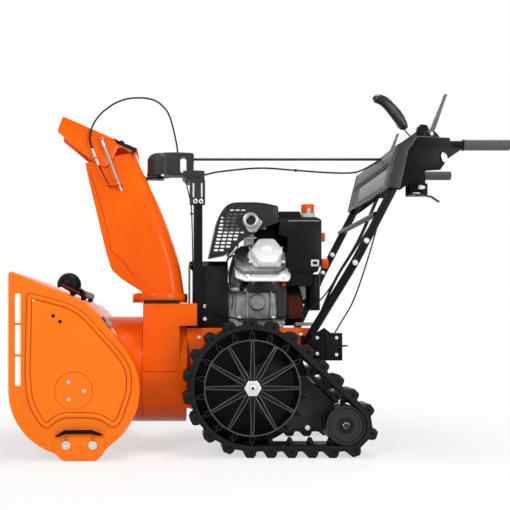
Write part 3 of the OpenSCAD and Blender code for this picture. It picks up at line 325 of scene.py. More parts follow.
FINISHES = {finish.name: finish for finish in (
    PowderCoat("orange_coat", "orange_paint", ORANGE, ORANGE_DEEP, 0.2, 0.04, shine=0.09),
    # orange_lit_plate: a paler, less saturated copy of the housing's orange, painted light for the flat side
    # plates and skid shoes that face the lamps
    PowderCoat("orange_lit_plate", "orange_paint", (0.96, 0.2, 0.01), (0.94, 0.185, 0.008), 0.34, 0.03,
        shine=0.12),
    # orange_seam_and_shade: a dark orange for painted shade lines along pressed folds, the side plates' rib
    # and recess, and for the drum's dark seams
    PowderCoat("orange_seam_and_shade", "orange_paint", (0.5, 0.05, 0.002), (0.42, 0.04, 0.002), 0.4, shine=0.1),
    # orange_painted_reflection: dark brown that paints the orange's reflection in the clean-out cup and on the
    # engine's black shroud
    PowderCoat("orange_painted_reflection", "orange_paint", (0.11, 0.022, 0.008), (0.07, 0.016, 0.006), 0.5, shine=0.1),
    PowderCoat("black_coat", "black_paint", grey(0.004), grey(0.008), 0.3, shine=0.1),
    PowderCoat("guard_black", "black_paint", grey(0.007), grey(0.012), 0.36, shine=0.3),
    PowderCoat("frame_grey", "black_paint", (0.022, 0.022, 0.0225), grey(0.034), 0.42),
    PowderCoat("cap_white", "white_cover", grey(0.78), grey(0.66), 0.3, 0.2, 0.00003),
    PowderCoat("cover_white", "white_cover", grey(0.82), (0.76, 0.76, 0.77), 0.2, 0.5, 0.00004, 0.5),
    Moulding("black_shell", "black_plastic", (0.004, 0.004, 0.0041), (0.009, 0.009, 0.0092), 0.36,
        shine=0.09),
    Moulding("black_gloss", "black_plastic", grey(0.008), grey(0.013), 0.2, 600.0, 0.00003, shine=0.4),
    Moulding("cover_black", "black_plastic", grey(0.006), grey(0.011), 0.36, 500.0),
    # box_edge_highlight: pale grey for a painted highlight line along the air box's lid
    Moulding("box_edge_highlight", "grey_plastic", grey(0.3), grey(0.24), 0.4),
    Moulding("console_black", "black_plastic", grey(0.0035), grey(0.006), 0.36, 700.0, shine=0.1),
    Moulding("box_black", "black_plastic", grey(0.006), grey(0.011), 0.34, 500.0, shine=0.1),
    Moulding("wheel_black", "black_plastic", grey(0.006), grey(0.014), 0.34, 500.0),
    # rib_highlight: a lighter, glossier black whose paler base paints the highlights on the drive wheels' ribs
    # and rim
    Moulding("rib_highlight", "black_plastic", (0.05, 0.05, 0.051), (0.09, 0.09, 0.091), 0.25, 500.0,
        shine=0.5),
    Moulding("panel_grey", "grey_plastic", (0.1, 0.101, 0.103), (0.14, 0.14, 0.142), 0.42),
    Moulding("panel_pale", "grey_plastic", (0.3, 0.3, 0.305), (0.37, 0.37, 0.375), 0.45),
    Moulding("lever_grey", "grey_plastic", (0.12, 0.12, 0.122), (0.16, 0.16, 0.163), 0.35),
    Moulding("grip_grey", "grip_rubber", (0.075, 0.076, 0.078), (0.1, 0.1, 0.102), 0.6, 600.0, 0.0003, 0.1),
    Moulding("track_black", "track_rubber", grey(0.006), (0.016, 0.0155, 0.015), 0.5, 350.0, 0.0004),
    Moulding("strip_black", "track_rubber", grey(0.006), grey(0.012), 0.45, 500.0),
    Moulding("jacket_black", "cable_jacket", grey(0.006), grey(0.013), 0.34, 800.0, 0.00005),
    Moulding("knob_orange", "orange_plastic", (0.9, 0.11, 0.003), (0.82, 0.095, 0.003), 0.3, 700.0,
        0.00005),
    Moulding("cap_base", "grey_plastic", (0.6, 0.6, 0.61), (0.5, 0.5, 0.51), 0.4, 600.0, 0.00005),
    Metal("zinc", "bright_steel", (0.78, 0.78, 0.79), (0.62, 0.61, 0.6), 0.24),
    Metal("steel", "machined_steel", (0.42, 0.43, 0.44), (0.28, 0.27, 0.26), 0.33, (30.0, 600.0, 600.0)),
    Metal("dark_steel", "machined_steel", (0.05, 0.05, 0.051), (0.03, 0.029, 0.028), 0.38),
    Metal("cast_grey", "cast_aluminium", (0.27, 0.265, 0.26), (0.055, 0.05, 0.045), 0.4, (90.0, 90.0,
        90.0), 520.0, 0.0005, 0.85),
    Metal("exhaust", "cast_aluminium", (0.396, 0.39, 0.378), (0.24, 0.222, 0.198), 0.3),
    Metal("spring_steel", "bright_steel", grey(0.72), grey(0.56), 0.28),
    Metal("bronze", "bronze", (0.55, 0.35, 0.13), (0.38, 0.22, 0.08), 0.3),
)}
MADE: dict[str, bpy.types.Material] = {}


def dress(piece: Piece, finish: str) -> None:
    """Give a piece or CAD node one finish all over.

    Args:
        piece: Piece or CAD node.
        finish: Name of the finish, whose material is made at its first use.
    """
    if finish not in MADE:
        MADE[finish] = FINISHES[finish].material()
    piece.data.materials.clear()
    piece.data.materials.append(MADE[finish])
    if piece.type == "MESH":
        for polygon in piece.data.polygons:
            polygon.material_index = 0


# ---- shaping


def smooth_group() -> bpy.types.NodeTree:
    """Return the node group that shades faces smooth up to an angle between them."""
    name = "smooth_by_angle"
    if name in bpy.data.node_groups:
        return bpy.data.node_groups[name]
    group = bpy.data.node_groups.new(name, "GeometryNodeTree")
    for way in ("INPUT", "OUTPUT"):
        group.interface.new_socket("Geometry", in_out=way, socket_type="NodeSocketGeometry")
    limit = group.interface.new_socket("Angle", in_out="INPUT", socket_type="NodeSocketFloat")
    limit.default_value = SHARP
    graph = Graph(group)
    start = graph.add("NodeGroupInput").outputs
    angle = graph.add("GeometryNodeInputMeshEdgeAngle").outputs["Unsigned Angle"]
    below = graph.add("FunctionNodeCompare", data_type="FLOAT", operation="LESS_THAN")
    graph.fill(below, {"A": angle, "B": start["Angle"]})
    inputs = {"Geometry": start["Geometry"], "Name": "custom_normal"}
    clean = graph.add("GeometryNodeRemoveAttribute", inputs)
    faces = graph.add("GeometryNodeSetShadeSmooth", {"Geometry": clean.outputs["Geometry"]})
    edges = graph.add("GeometryNodeSetShadeSmooth", {"Geometry": faces.outputs["Geometry"]}, domain="EDGE")
    graph.fill(edges, {"Shade Smooth": below.outputs["Result"]})
    graph.add("NodeGroupOutput", {"Geometry": edges.outputs["Geometry"]})
    return group


def shade(piece: Piece) -> None:
    """Shade a piece smooth, except over its sharp edges."""
    piece.modifiers.new("shade", "NODES").node_group = smooth_group()


def soften(piece: Piece, width: float) -> None:
    """Round the sharp edges of a mesh piece or CAD node by a width."""
    weld = piece.modifiers.new("weld", "WELD")
    weld.merge_threshold = 2e-6
    flat = piece.modifiers.new("flat", "DECIMATE")
    flat.decimate_type = "DISSOLVE"
    flat.angle_limit = radians(0.6)
    bevel = piece.modifiers.new("round", "BEVEL")
    bevel.width = width
    bevel.segments = 2
    bevel.limit_method = "ANGLE"
    bevel.angle_limit = SHARP
    bevel.use_clamp_overlap = True
    shade(piece)


def new_piece(name: str, meshes: Sequence[Mesh], finish: str) -> Piece:
    """Join meshes into a piece of the machine.

    Args:
        name: Name of the piece.
        meshes: Its meshes, in place.
        finish: Name of its finish.

    Returns:
        The new object, which rides on nothing yet.
    """
    piece = bpy.data.objects.new(name, merged(meshes, name))
    bpy.context.scene.collection.objects.link(piece)
    dress(piece, finish)
    shade(piece)
    return piece


@contextmanager
def opened(mesh: Mesh) -> Iterator[bmesh.types.BMesh]:
    """Open a mesh for work on its faces, and write them back at the end."""
    work = bmesh.new()
    work.from_mesh(mesh)
    yield work
    work.to_mesh(mesh)
    work.free()


def mesh_from(points: Iterable[Sequence[float]], faces: Iterable[Face]) -> Mesh:
    """Return a mesh of points and faces, with its normals pointing out."""
    mesh = bpy.data.meshes.new("part")
    mesh.from_pydata([tuple(p) for p in points], [], list(faces))
    with opened(mesh) as work:
        bmesh.ops.recalc_face_normals(work, faces=work.faces)
    return mesh


def tidied(mesh: Mesh, gap: float) -> Mesh:
    """Weld a mesh's points that lie within a gap and turn its faces outwards."""
    with opened(mesh) as work:
        bmesh.ops.remove_doubles(work, verts=work.verts, dist=gap)
        bmesh.ops.dissolve_degenerate(work, dist=gap, edges=work.edges)
        bmesh.ops.recalc_face_normals(work, faces=work.faces)
    return mesh


def merged(meshes: Sequence[Mesh], name: str = "part") -> Mesh:
    """Join meshes into one with a name, and drop the separate ones."""
    joined = bpy.data.meshes.new(name)
    with opened(joined) as work:
        for mesh in meshes:
            work.from_mesh(mesh)
            bpy.data.meshes.remove(mesh)
    return joined


def both(*meshes: Mesh) -> list[Mesh]:
    """Return each mesh with its copy on the other side of the middle plane."""
    pairs: list[Mesh] = []
    for mesh in meshes:
        copy = mesh.copy()
        with opened(copy) as work:
            bmesh.ops.transform(work, matrix=Matrix.Scale(-1, 4, Vector((0, 1, 0))), verts=work.verts)
            bmesh.ops.reverse_faces(work, faces=work.faces)
        pairs += [mesh, copy]
    return pairs


def fillet(corners: Outline, radius: float | Sequence[float], steps: int = 3) -> list[Flat]:
    """Round the corners of a closed outline.

    Args:
        corners: Corners of the outline.
        radius: One radius, or one for each corner.
        steps: Segments of each arc.

    Returns:
        The rounded outline.
    """
    count = len(corners)
    radii = [radius] * count if isinstance(radius, (int, float)) else list(radius)
    outline: list[Flat] = []
    for i, (x, y) in enumerate(corners):
        here = Vector((x, y))
        back = Vector(corners[i - 1]) - here
        ahead = Vector(corners[(i + 1) % count]) - here
        reach = min(radii[i], back.length * 0.49, ahead.length * 0.49)
        if reach <= 0:
            outline.append((x, y))
            continue
        start, stop = here + back.normalized() * reach, here + ahead.normalized() * reach
        for k in range(steps + 1):
            t = k / steps
            p = (1 - t) ** 2 * start + 2 * t * (1 - t) * here + t * t * stop
            outline.append((p.x, p.y))
    return outline


def oblong(low: Flat, high: Flat, radius: float, steps: int = 3) -> list[Flat]:
    """Return a rectangle with rounded corners between its lowest and highest corner."""
    return fillet([low, (high[0], low[1]), high, (low[0], high[1])], radius, steps)


def arc(centre: Flat, radius: float, start: float, stop: float, step: float = 4.0) -> list[Flat]:
    """Return the points of an arc between two angles in degrees."""
    count = max(1, ceil(abs(stop - start) / step))
    turns = [radians(start + (stop - start) * k / count) for k in range(count + 1)]
    return [(centre[0] + radius * cos(a), centre[1] + radius * sin(a)) for a in turns]


def ring(centre: Flat, radius: float, count: int = 32, start: float = 0.0) -> list[Flat]:
    """Return a circle as a closed outline, with start the first angle in degrees."""
    turns = [radians(start + 360 * k / count) for k in range(count)]
    return [(centre[0] + radius * cos(a), centre[1] + radius * sin(a)) for a in turns]


def inset(outline: Outline, distance: float) -> list[Flat]:
    """Return a closed outline moved inwards, point for point.

    Args:
        outline: Corners of the outline, either way round.
        distance: How far its sides move.

    Returns:
        The moved outline.
    """
    points = [Vector(p) for p in outline]
    area = sum(a.x * b.y - b.x * a.y for a, b in zip(points, points[1:] + points[:1]))
    turn = copysign(1.0, area)
    moved: list[Flat] = []
    for i, here in enumerate(points):
        back = here - points[i - 1]
        ahead = points[(i + 1) % len(points)] - here
        back = back if back.length > 1e-9 else ahead
        ahead = ahead if ahead.length > 1e-9 else back
        normals = [Vector((-d.y, d.x)).normalized() * turn for d in (back, ahead)]
        inward = (normals[0] + normals[1]).normalized()
        step = distance / max(0.5, inward.dot(normals[0]))
        moved.append((here.x + inward.x * step, here.y + inward.y * step))
    return moved


def inside(point: Vector, loops: Sequence[Outline]) -> bool:
    """Tell whether a point lies inside an outline and outside its holes."""
    crossings = 0
    for loop in loops:
        for (x0, y0), (x1, y1) in zip(loop, [*loop[1:], loop[0]]):
            if (y0 > point.y) != (y1 > point.y) and point.x < x0 + (point.y - y0) / (y1 - y0) * (x1 - x0):
                crossings += 1
    return crossings % 2 == 1


def cut_plate(loops: Sequence[Outline], near: float, far: float, round_off: float = 0.0006,
              plane: Plane = Plane.XZ) -> Mesh:
    """Return a flat plate with rounded edges.

    Args:
        loops: Outline first, then its holes.
        near: Distance of the first face from the plane.
        far: Distance of the second face.
        round_off: Radius of the edges.
        plane: Plane of the outline.

    Returns:
        The plate's mesh, in place.
    """
    slim = 0.3 * round_off
    levels = ((near, round_off), (near + slim, slim), (near + round_off, 0.0), (far - round_off, 0.0),
              (far - slim, slim), (far, round_off))
    groups = [[inset(loop, depth if loop is loops[0] else -depth) for loop in loops] for _, depth in levels]
    points = [plane.point(u, v, level) for (level, _), group in zip(levels, groups) for loop in group
              for u, v in loop]
    faces: list[Face] = []
    edges: list[tuple[int, int]] = []
    total = sum(len(loop) for loop in loops)
    for loop in loops:
        start = len(edges)
        sides = [(start + k, start + (k + 1) % len(loop)) for k in range(len(loop))]
        for rise in range(0, total * (len(levels) - 1), total):
            faces += [(a + rise, b + rise, b + rise + total, a + rise + total) for a, b in sides]
        edges += sides
    for group, level in ((groups[0], near), (groups[-1], far)):
        flat = [Vector(p) for loop in group for p in loop]
        spots, _, triangles, *_ = delaunay_2d_cdt(flat, edges, [], 0, 1e-8)
        shift = len(points)
        points += [plane.point(p.x, p.y, level) for p in spots]
        for triangle in triangles:
            middle = sum((spots[k] for k in triangle), Vector((0, 0))) / len(triangle)
            if inside(middle, group):
                faces.append(tuple(shift + k for k in triangle))
    return tidied(mesh_from(points, faces), 2e-7)


def block(low: Point, high: Point, round_off: float = 0.0012) -> Mesh:
    """Return a rounded block between two corners."""
    outline = oblong(low[:2], high[:2], round_off * 1.5, 2)
    return cut_plate([outline], low[2], high[2], round_off, Plane.XY)


def quads(rows: int, count: int, closed: bool = False) -> list[Face]:
    """Return the faces between rings of points, and from the last ring to the first if closed."""
    pairs = [(i * count, (i + 1) % rows * count) for i in range(rows if closed else rows - 1)]
    return [(a + k, a + (k + 1) % count, b + (k + 1) % count, b + k) for a, b in pairs for k in range(count)]


def ends(rows: int, count: int) -> list[Face]:
    """Return the faces that shut a stack of rings at both ends."""
    return [tuple(range(count)), tuple((rows - 1) * count + k for k in range(count))]


def lathe(profile: Outline, origin: Sequence[float], direction: Sequence[float], count: int = 40) -> Mesh:
    """Return a turned piece.

    Args:
        profile: Points of (radius, height) from one end to the other; a closed ring when the
            first point is repeated at the end.
        origin: Place of height 0 on the axis.
        direction: Direction of the axis.
        count: Segments round the axis.

    Returns:
        The turned mesh, in place.
    """
    turn = Vector(UP).rotation_difference(Vector(direction).normalized())
    place = Matrix.Translation(Vector(origin)) @ turn.to_matrix().to_4x4()
    turns = [2 * pi * k / count for k in range(count)]
    points = [place @ Vector((radius * cos(a), radius * sin(a), height)) for radius, height in profile
              for a in turns]
    faces = quads(len(profile), count)
    if profile[0] != profile[-1]:
        faces += ends(len(profile), count)
    return tidied(mesh_from(points, faces), 1e-7)


def bolt(place: Sequence[float], washer: float, head: float, height: float,
         way: Sequence[float] = OUT) -> Mesh:
    """Return a hex bolt on a washer.

    Args:
        place: Centre of the washer's face on the work.
        washer: Radius of the washer.
        head: Radius of the head over its corners.
        height: Height of washer and head.
        way: Way the head points.

    Returns:
        The bolt's mesh.
    """
    lip = height * 0.28
    disc = lathe([(washer * 0.96, 0), (washer, lip * 0.4), (washer * 0.94, lip)], place, way, 24)
    hexagon = lathe([(head, lip), (head, height * 0.86), (head * 0.9, height)], place, way, 6)
    crown = lathe([(head * 0.72, height * 0.97), (head * 0.7, height * 1.05)], place, way, 20)
    return merged([disc, hexagon, crown])


def curved(points: Sequence[Sequence[float]], steps: int = 6) -> list[Vector]:
    """Return a smooth path through points, with steps segments between each two."""
    knots = [Vector(p) for p in points]
    knots = [2 * knots[0] - knots[1], *knots, 2 * knots[-1] - knots[-2]]
    path: list[Vector] = []
    for a, b, c, d in zip(knots, knots[1:], knots[2:], knots[3:]):
        for t in (k / steps for k in range(steps)):
            path.append(0.5 * (2 * b + (c - a) * t + (2 * a - 5 * b + 4 * c - d) * t * t
                + (3 * b - a - 3 * c + d) * t ** 3))
    path.append(knots[-2])
    return path


def sweep(path: Sequence[Vector], radius: float | Sequence[float], count: int = 14) -> Mesh:
    """Return a round bar along a path.

    Args:
        path: Points of the centre line.
        radius: One radius, or one for each point.
        count: Segments round the bar.

    Returns:
        The bar's mesh, with closed ends.
    """
    size = len(path)
    radii = [radius] * size if isinstance(radius, (int, float)) else list(radius)
    side = (path[1] - path[0]).orthogonal().normalized()
    points: list[Vector] = []
    for i, p in enumerate(path):
        ahead = (path[min(i + 1, size - 1)] - path[max(i - 1, 0)]).normalized()
        side = (side - ahead * side.dot(ahead)).normalized()
        other = ahead.cross(side)
        turns = [2 * pi * k / count for k in range(count)]
        points += [p + radii[i] * (cos(a) * side + sin(a) * other) for a in turns]
    return mesh_from(points, quads(size, count) + ends(size, count))


def bead(line: Outline, width: float, level: float, height: float) -> Mesh:
    """Return a pressed rib along a closed line in the XZ plane.

    Args:
        line: Outer line of the rib.
        width: Width of the rib, inwards from the line.
        level: Y of the face that it stands on.
        height: Y from the face to the rib's crown.

    Returns:
        The rib's mesh.
    """
    section = ((0.0, 0.0), (0.1, 0.45), (0.25, 0.85), (0.42, 1.0), (0.58, 1.0), (0.75, 0.85), (0.9, 0.45),
               (1.0, 0.0))
    points = [(x, level + height * rise, z) for share, rise in section for x, z in inset(line, width * share)]
    return mesh_from(points, quads(len(section), len(line), closed=True))


def shell(outer: Sequence[Sequence[Vector]], inner: Sequence[Sequence[Vector]]) -> Mesh:
    """Return the closed sheet between two grids of points with the same rows and columns."""
    rows, columns = len(outer), len(outer[0])
    far = rows * columns
    starts = [i * columns + k for i in range(rows - 1) for k in range(columns - 1)]
    faces = [(a + s, a + 1 + s, a + columns + 1 + s, a + columns + s) for s in (0, far) for a in starts]
    rims = [(i * columns + k, (i + 1) * columns + k) for i in range(rows - 1) for k in (0, columns - 1)]
    rims += [(i * columns + k, i * columns + k + 1) for k in range(columns - 1) for i in (0, rows - 1)]
    faces += [(a, b, b + far, a + far) for a, b in rims]
    return mesh_from([p for grid in (outer, inner) for row in grid for p in row], faces)


# ---- studio


@dataclass
class Studio:
    """Pale floor, white surround, soft lamps and the camera."""

    floor_size: float = 14.0
    floor_tone: float = 0.88
    floor_glow: tuple[float, float, float, float] = (0.62, 1.0, 0.7, 1.9)
    world_level: float = 0.36
    camera_place: Point = (-0.296, -2.9, 0.438)
    camera_lens: float = 57.1
    camera_shift: Flat = (0.167, 0.131)
    lamps: tuple[tuple[str, Point, Point, float, float], ...] = (
        ("key", (-1.9, -3.4, 2.7), (-0.1, -0.2, 0.5), 1.1, 63.0),
        ("fill", (2.7, -2.9, 1.3), (0.1, 0.0, 0.5), 1.0, 27.0),
        ("strip", (1.5, -1.9, 1.5), (-0.3, -0.1, 0.7), 0.35, 9.0),
        ("top", (0.3, -0.3, 3.3), (0.0, 0.0, 0.5), 1.2, 43.0),
        ("rear", (1.4, 3.4, 2.4), (0.0, 0.0, 0.6), 1.6, 42.0),
    )

    def build(self) -> None:
        """Make the surround, the lamps and the camera."""
        self.surround()
        self.floor()
        for lamp in self.lamps:
            self.lamp(*lamp)
        self.camera()
        bpy.context.scene.view_settings.view_transform = "Standard"

    def surround(self) -> None:
        """Light the world evenly and show it white."""
        world = bpy.data.worlds.new("surround")
        bpy.context.scene.world = world
        world.use_nodes = True
        graph = Graph(world.node_tree)
        light = graph.tree.nodes["Background"]
        graph.fill(light, {"Color": WHITE, "Strength": self.world_level})
        shown = graph.add("ShaderNodeBackground", {"Color": WHITE, "Strength": 1.0})
        inputs = {0: graph.seen_directly(), 1: light.outputs[0], 2: shown.outputs[0]}
        choose = graph.add("ShaderNodeMixShader", inputs)
        graph.fill(graph.tree.nodes["World Output"], {"Surface": choose.outputs[0]})

    def floor(self) -> None:
        """Lay the pale floor that keeps the machine's shadow and glows further out."""
        half = self.floor_size / 2
        corners = [(-half, -half, 0), (half, -half, 0), (half, half, 0), (-half, half, 0)]
        plane = bpy.data.objects.new("floor", mesh_from(corners, [(0, 1, 2, 3)]))
        bpy.context.scene.collection.objects.link(plane)
        paint = Paint("floor_white")
        diffuse = paint.add("ShaderNodeBsdfDiffuse", {"Color": grey(self.floor_tone)})
        glow = paint.add("ShaderNodeEmission", {"Strength": 1.0})
        reach = paint.add("ShaderNodeVectorMath", operation="LENGTH")
        paint.fill(reach, {0: paint.place})
        fade = paint.spread(reach.outputs["Value"], *self.floor_glow, fade="SMOOTHSTEP")
        share = paint.add("ShaderNodeMath", {0: paint.seen_directly(), 1: fade}, operation="MULTIPLY")
        inputs = {0: share.outputs[0], 1: diffuse.outputs[0], 2: glow.outputs[0]}
        mix = paint.add("ShaderNodeMixShader", inputs)
        paint.fill(paint.tree.nodes["Material Output"], {"Surface": mix.outputs[0]})
        plane.data.materials.append(paint.material)

    def lamp(self, name: str, place: Point, aim: Point, size: float, power: float) -> None:
        """Hang a square soft lamp.

        Args:
            name: Name of the lamp.
            place: Its place.
            aim: Point that it faces.
            size: Length of its side.
            power: Its power in watts.
        """
        light = bpy.data.lights.new(name, "AREA")
        light.shape = "SQUARE"
        light.size = size
        light.energy = power
        holder = bpy.data.objects.new(name, light)
        bpy.context.scene.collection.objects.link(holder)
        holder.location = place
        holder.rotation_euler = (Vector(aim) - Vector(place)).to_track_quat("-Z", "Y").to_euler()

    def camera(self) -> None:
        """Set the camera square to the machine's left side."""
        lens = bpy.data.cameras.new("camera")
        lens.lens = self.camera_lens
        lens.sensor_width = 36.0
        lens.shift_x, lens.shift_y = self.camera_shift
        holder = bpy.data.objects.new("camera", lens)
        bpy.context.scene.collection.objects.link(holder)
        holder.location = self.camera_place
        holder.rotation_euler = (radians(90), 0.0, 0.0)
        bpy.context.scene.camera = holder


# ---- sub-assemblies


class Assembly:
    """Base of the sub-assemblies: CAD nodes with their finish and edge rounding."""

    finishes: ClassVar[NodeLooks] = {}

    def dress_nodes(self) -> None:
        """Give each CAD node its finish and rounded edges."""
        for node, (finish, width) in self.finishes.items():
            dress(NODES[node], finish)
            if width > 0:
                soften(NODES[node], width)
            else:
                shade(NODES[node])
            log.info("dressed %s with %s", node, finish)

    def add(self, name: str, meshes: Sequence[Mesh], finish: str, body: str = "chassis") -> Piece:
        """Join meshes into one piece that rides on a body.

        Args:
            name: Name of the piece.
            meshes: Its meshes.
            finish: Name of its finish.
            body: CAD body that it rides on.

        Returns:
            The piece.
        """
        piece = new_piece(name, meshes, finish)
        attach(piece, body)
        log.info("built %s on %s", name, body)
        return piece

    def bridge(self, name: str, meshes: Sequence[Mesh], finish: str, bodies: tuple[str, str],
               ends: Sequence[Sequence[float]]) -> Piece:
        """Join meshes into one piece that lies between two bodies and stays where it is built.

        Args:
            name: Name of the piece.
            meshes: Its meshes.
            finish: Name of its finish.
            bodies: The two bodies.
            ends: Not used.

        Returns:
            The piece.
        """
        piece = new_piece(name, meshes, finish)
        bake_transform(piece)
        log.info("built %s between %s and %s", name, *bodies)
        return piece


@dataclass
class AugerHousing(Assembly):
    """Rolled auger housing with pressed side plates, skid shoes and what turns inside it."""

    half_width: float = 0.356
    sheet: float = 0.003
    axis: Flat = (-0.598, 0.221)
    radius: float = 0.206
    foot: float = 0.003
    top: float = 0.597
    leave: float = 38.0
    straight: float = 0.132
    brow_step: float = 0.048
    rim: float = 0.0125
    rib_width: float = 0.019
    rib_height: float = 0.0042
    panel_lift: float = 0.0016
    recess: float = 0.061
    bolt_circle: float = 0.032
    slot_size: Flat = (0.0175, 0.092)
    slot_pitch: float = 0.099
    slot_margin: float = 0.0205
    slot_low: float = 0.2365
    skid_x: float = -0.58
    skid_reach: float = 0.373
    skid_bolt: float = 0.042
    finishes: ClassVar[NodeLooks] = {"auger_housing": ("orange_coat", 0.0012),
        "scraper_bar": ("dark_steel", 0.001), "shaft_bearings": ("dark_steel", 0.001),
        "auger_gearbox": ("black_coat", 0.003), "auger_shaft": ("steel", 0.001),
        "auger_rakes": ("orange_coat", 0.001), "worm_wheel": ("bronze", 0.0004),
        "impeller_shaft": ("steel", 0.001), "impeller_fan": ("orange_coat", 0.001)}

    def build(self) -> None:
        """Build the plates, skid shoes, bolts, seams and clean-out tool."""
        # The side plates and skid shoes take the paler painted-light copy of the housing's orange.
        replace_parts(self.add("side_plates", both(self.side_plate()), "orange_lit_plate"), "housing_side_plates")
        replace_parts(self.add("skid_plates", both(self.skid_shoe()), "orange_lit_plate"), "skid_shoes")
        self.add("skid_lips", both(self.skid_lip()), "black_coat")
        self.fasteners()
        self.shade_lines_and_trim()
        self.clean_out_tool()

    def fasteners(self) -> None:
        """Build the skid and bearing bolts with the rest of the frame's bolts and the console's dial."""
        face = -self.half_width
        x, z = self.axis
        dark: list[Mesh] = []
        meshes: list[Mesh] = []
        for s in (-self.skid_bolt, self.skid_bolt):
            meshes += both(bolt((self.skid_x + s, face - 0.005, 0.05), 0.0142, 0.0085, 0.008))
        for k in range(3):
            a = radians(120 * k)
            place = (x + self.bolt_circle * cos(a), face, z + self.bolt_circle * sin(a))
            meshes += both(bolt(place, 0.0062, 0.0052, 0.006))
        foot, bend = Vector((0.163, -0.1633, 0.366)), Vector((0.305, -0.275, 0.632))
        for t in (0.12, 0.34):
            p = foot.lerp(bend, t)
            dark += both(bolt((p.x, p.y - 0.0165, p.z), 0.009, 0.0068, 0.007))
        for p in ((0.3015, -0.291, 0.629), (0.3385, -0.291, 0.7)):
            meshes += both(bolt(p, 0.0092, 0.0068, 0.007))
            meshes += both(bolt((p[0], 0.259, p[2]), 0.0088, 0.0066, 0.006))
        for level in (0.492, 0.448):
            meshes.append(bolt((-0.176, -0.122, level), 0.0066, 0.005, 0.005))
        for x in (-0.2 - 0.0096, -0.2 + 0.0096):
            place = (x, -0.159, 0.846)
            meshes.append(lathe([(0.0078, 0), (0.0078, 0.0026), (0.0058, 0.004), (0.0036, 0.004),
                (0.0034, 0.0012)], place, OUT, 24))
            dark.append(lathe([(0.0036, 0.0008), (0.0036, 0.003), (0.0026, 0.0034)], place, OUT, 18))
        self.add("frame_dark_bolts", dark, "black_coat")
        dial = lathe([(0.017, 0), (0.017, 0.004), (0.015, 0.0062), (0.0128, 0.0052), (0.005, 0.0052),
                      (0.004, 0.007)], (0, 0, 0), OUT, 32)
        turn = Matrix.Rotation(radians(-14), 4, "Y") @ Matrix.Diagonal((0.62, 1, 1, 1))
        dial.transform(Matrix.Translation(Vector((0.587, -0.293, 0.967))) @ turn)
        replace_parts(self.add("frame_bolt_set", [*meshes, dial], "zinc"), "frame_bolts")

    def clean_out_tool(self) -> None:
        """Build the clean-out tool that is clipped across the top of the housing, with a brown lens in its cup
        that paints the orange reflection there.
        """
        corner = self.shoulder()
        rest = Vector((corner[0] - self.brow_step - 0.027, -0.19, corner[1] + self.brow_step + 0.034))
        cup = rest + Vector((-0.041, 0, 0.028))
        bowl = shell(self.cup_wall(cup, 0.0405), self.cup_wall(cup, 0.0375))
        bar = curved([cup + Vector((0.022, 0.006, -0.016)), cup + Vector((0.036, 0.03, -0.024)),
                      *(rest + Vector((0, y, 0)) for y in (0.075, 0.22, 0.365))])
        size = len(bar)
        handle = sweep(bar, [0.0125 - (0.005 if i in (0, size - 1) else 0) for i in range(size)], 20)
        clips = [block((rest.x - 0.009, y - 0.008, rest.z - 0.0215),
                       (rest.x + 0.009, y + 0.008, rest.z - 0.004)) for y in (-0.12, 0.12)]
        # The dark brown lens in the cup's opening is a painted reflection of the orange housing.
        lens = lathe([(0, 0.009), (0.02, 0.008), (0.033, 0.005), (0.041, 0), (0.037, -0.004), (0, -0.008)],
                     cup + Vector((0, 0, -0.012)), (-0.45, 0, -0.89))
        self.add("clean_out_reflection", [lens], "orange_painted_reflection")
        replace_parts(self.add("clean_out_paddle", [bowl, handle, *clips], "black_shell"), "clean_out_tool")

    def cup_wall(self, cup: Vector, radius: float) -> list[list[Vector]]:
        """Return a grid of points on the round of the tool's cup."""
        return [[cup + radius * Vector((cos(b) * cos(a), 0.86 * sin(a), sin(b) * cos(a)))
                 for b in map(radians, range(-80, 194, 13))] for a in map(radians, range(-90, 91, 10))]

    def shade_lines_and_trim(self) -> None:
        """Build the painted shade lines along the rib and the recess, the drum's dark seams, the black domes
        painted as shade in two holes, the painted shadow under the outlet's collar, the black block painted as
        shade at the foot of the belt cover's front, and the tool clips.
        """
        face, line = -self.half_width, self.rib_line()
        top = face - self.panel_lift
        meshes: list[Mesh] = []
        # Dark lines along the rib's edges and round the recess are painted shade; the lines on the drum are
        # its seams.
        for outer, inner, level in ((0.0022, 0.0042, face - self.rib_height),
                (self.rib_width - 0.0013, self.rib_width + 0.0013, top)):
            loops = [inset(line, outer), inset(line, inner)]
            meshes += both(cut_plate(loops, level - 0.0007, level + 0.0004, 0.0001))
        loops = [ring(self.axis, self.recess + step, 56) for step in (0.0008, -0.0014)]
        meshes += both(cut_plate(loops, top - 0.0006, top + 0.0006, 0.0001))
        for y in (-0.18715, 0.18715):
            meshes.append(sweep([Vector((x, y, 0.272)) for x in (-0.389, -0.327, -0.266)], 0.0011, 8))
        meshes.append(lathe([(0.186, -0.0011), (0.1878, -0.0011), (0.1878, 0.0011), (0.186, 0.0011),
            (0.186, -0.0011)], (-0.39, 0, 0.27), (1, 0, 0), 96))
        hole_shades: list[Mesh] = []
        # Small black domes stand in for the shade seen in two holes of the side plates: painted shade.
        for x, z in ((-0.663, 0.457), (-0.641, 0.439)):
            hole_shades += both(lathe([(0.0058, 0), (0.0056, 0.0012), (0.0036, 0.002)], (x, top, z), OUT, 18))
        self.add("hole_shade_domes", hole_shades, "black_coat")
        self.add("seam_and_shade_lines", meshes, "orange_seam_and_shade")
        # A black block fills the gap at the foot of the belt cover's front, where only shade shows: painted
        # shade.
        self.add("gap_shade_block", [block((-0.264, -0.06, 0.414), (-0.204, 0.06, 0.442), 0.002)], "cover_black")
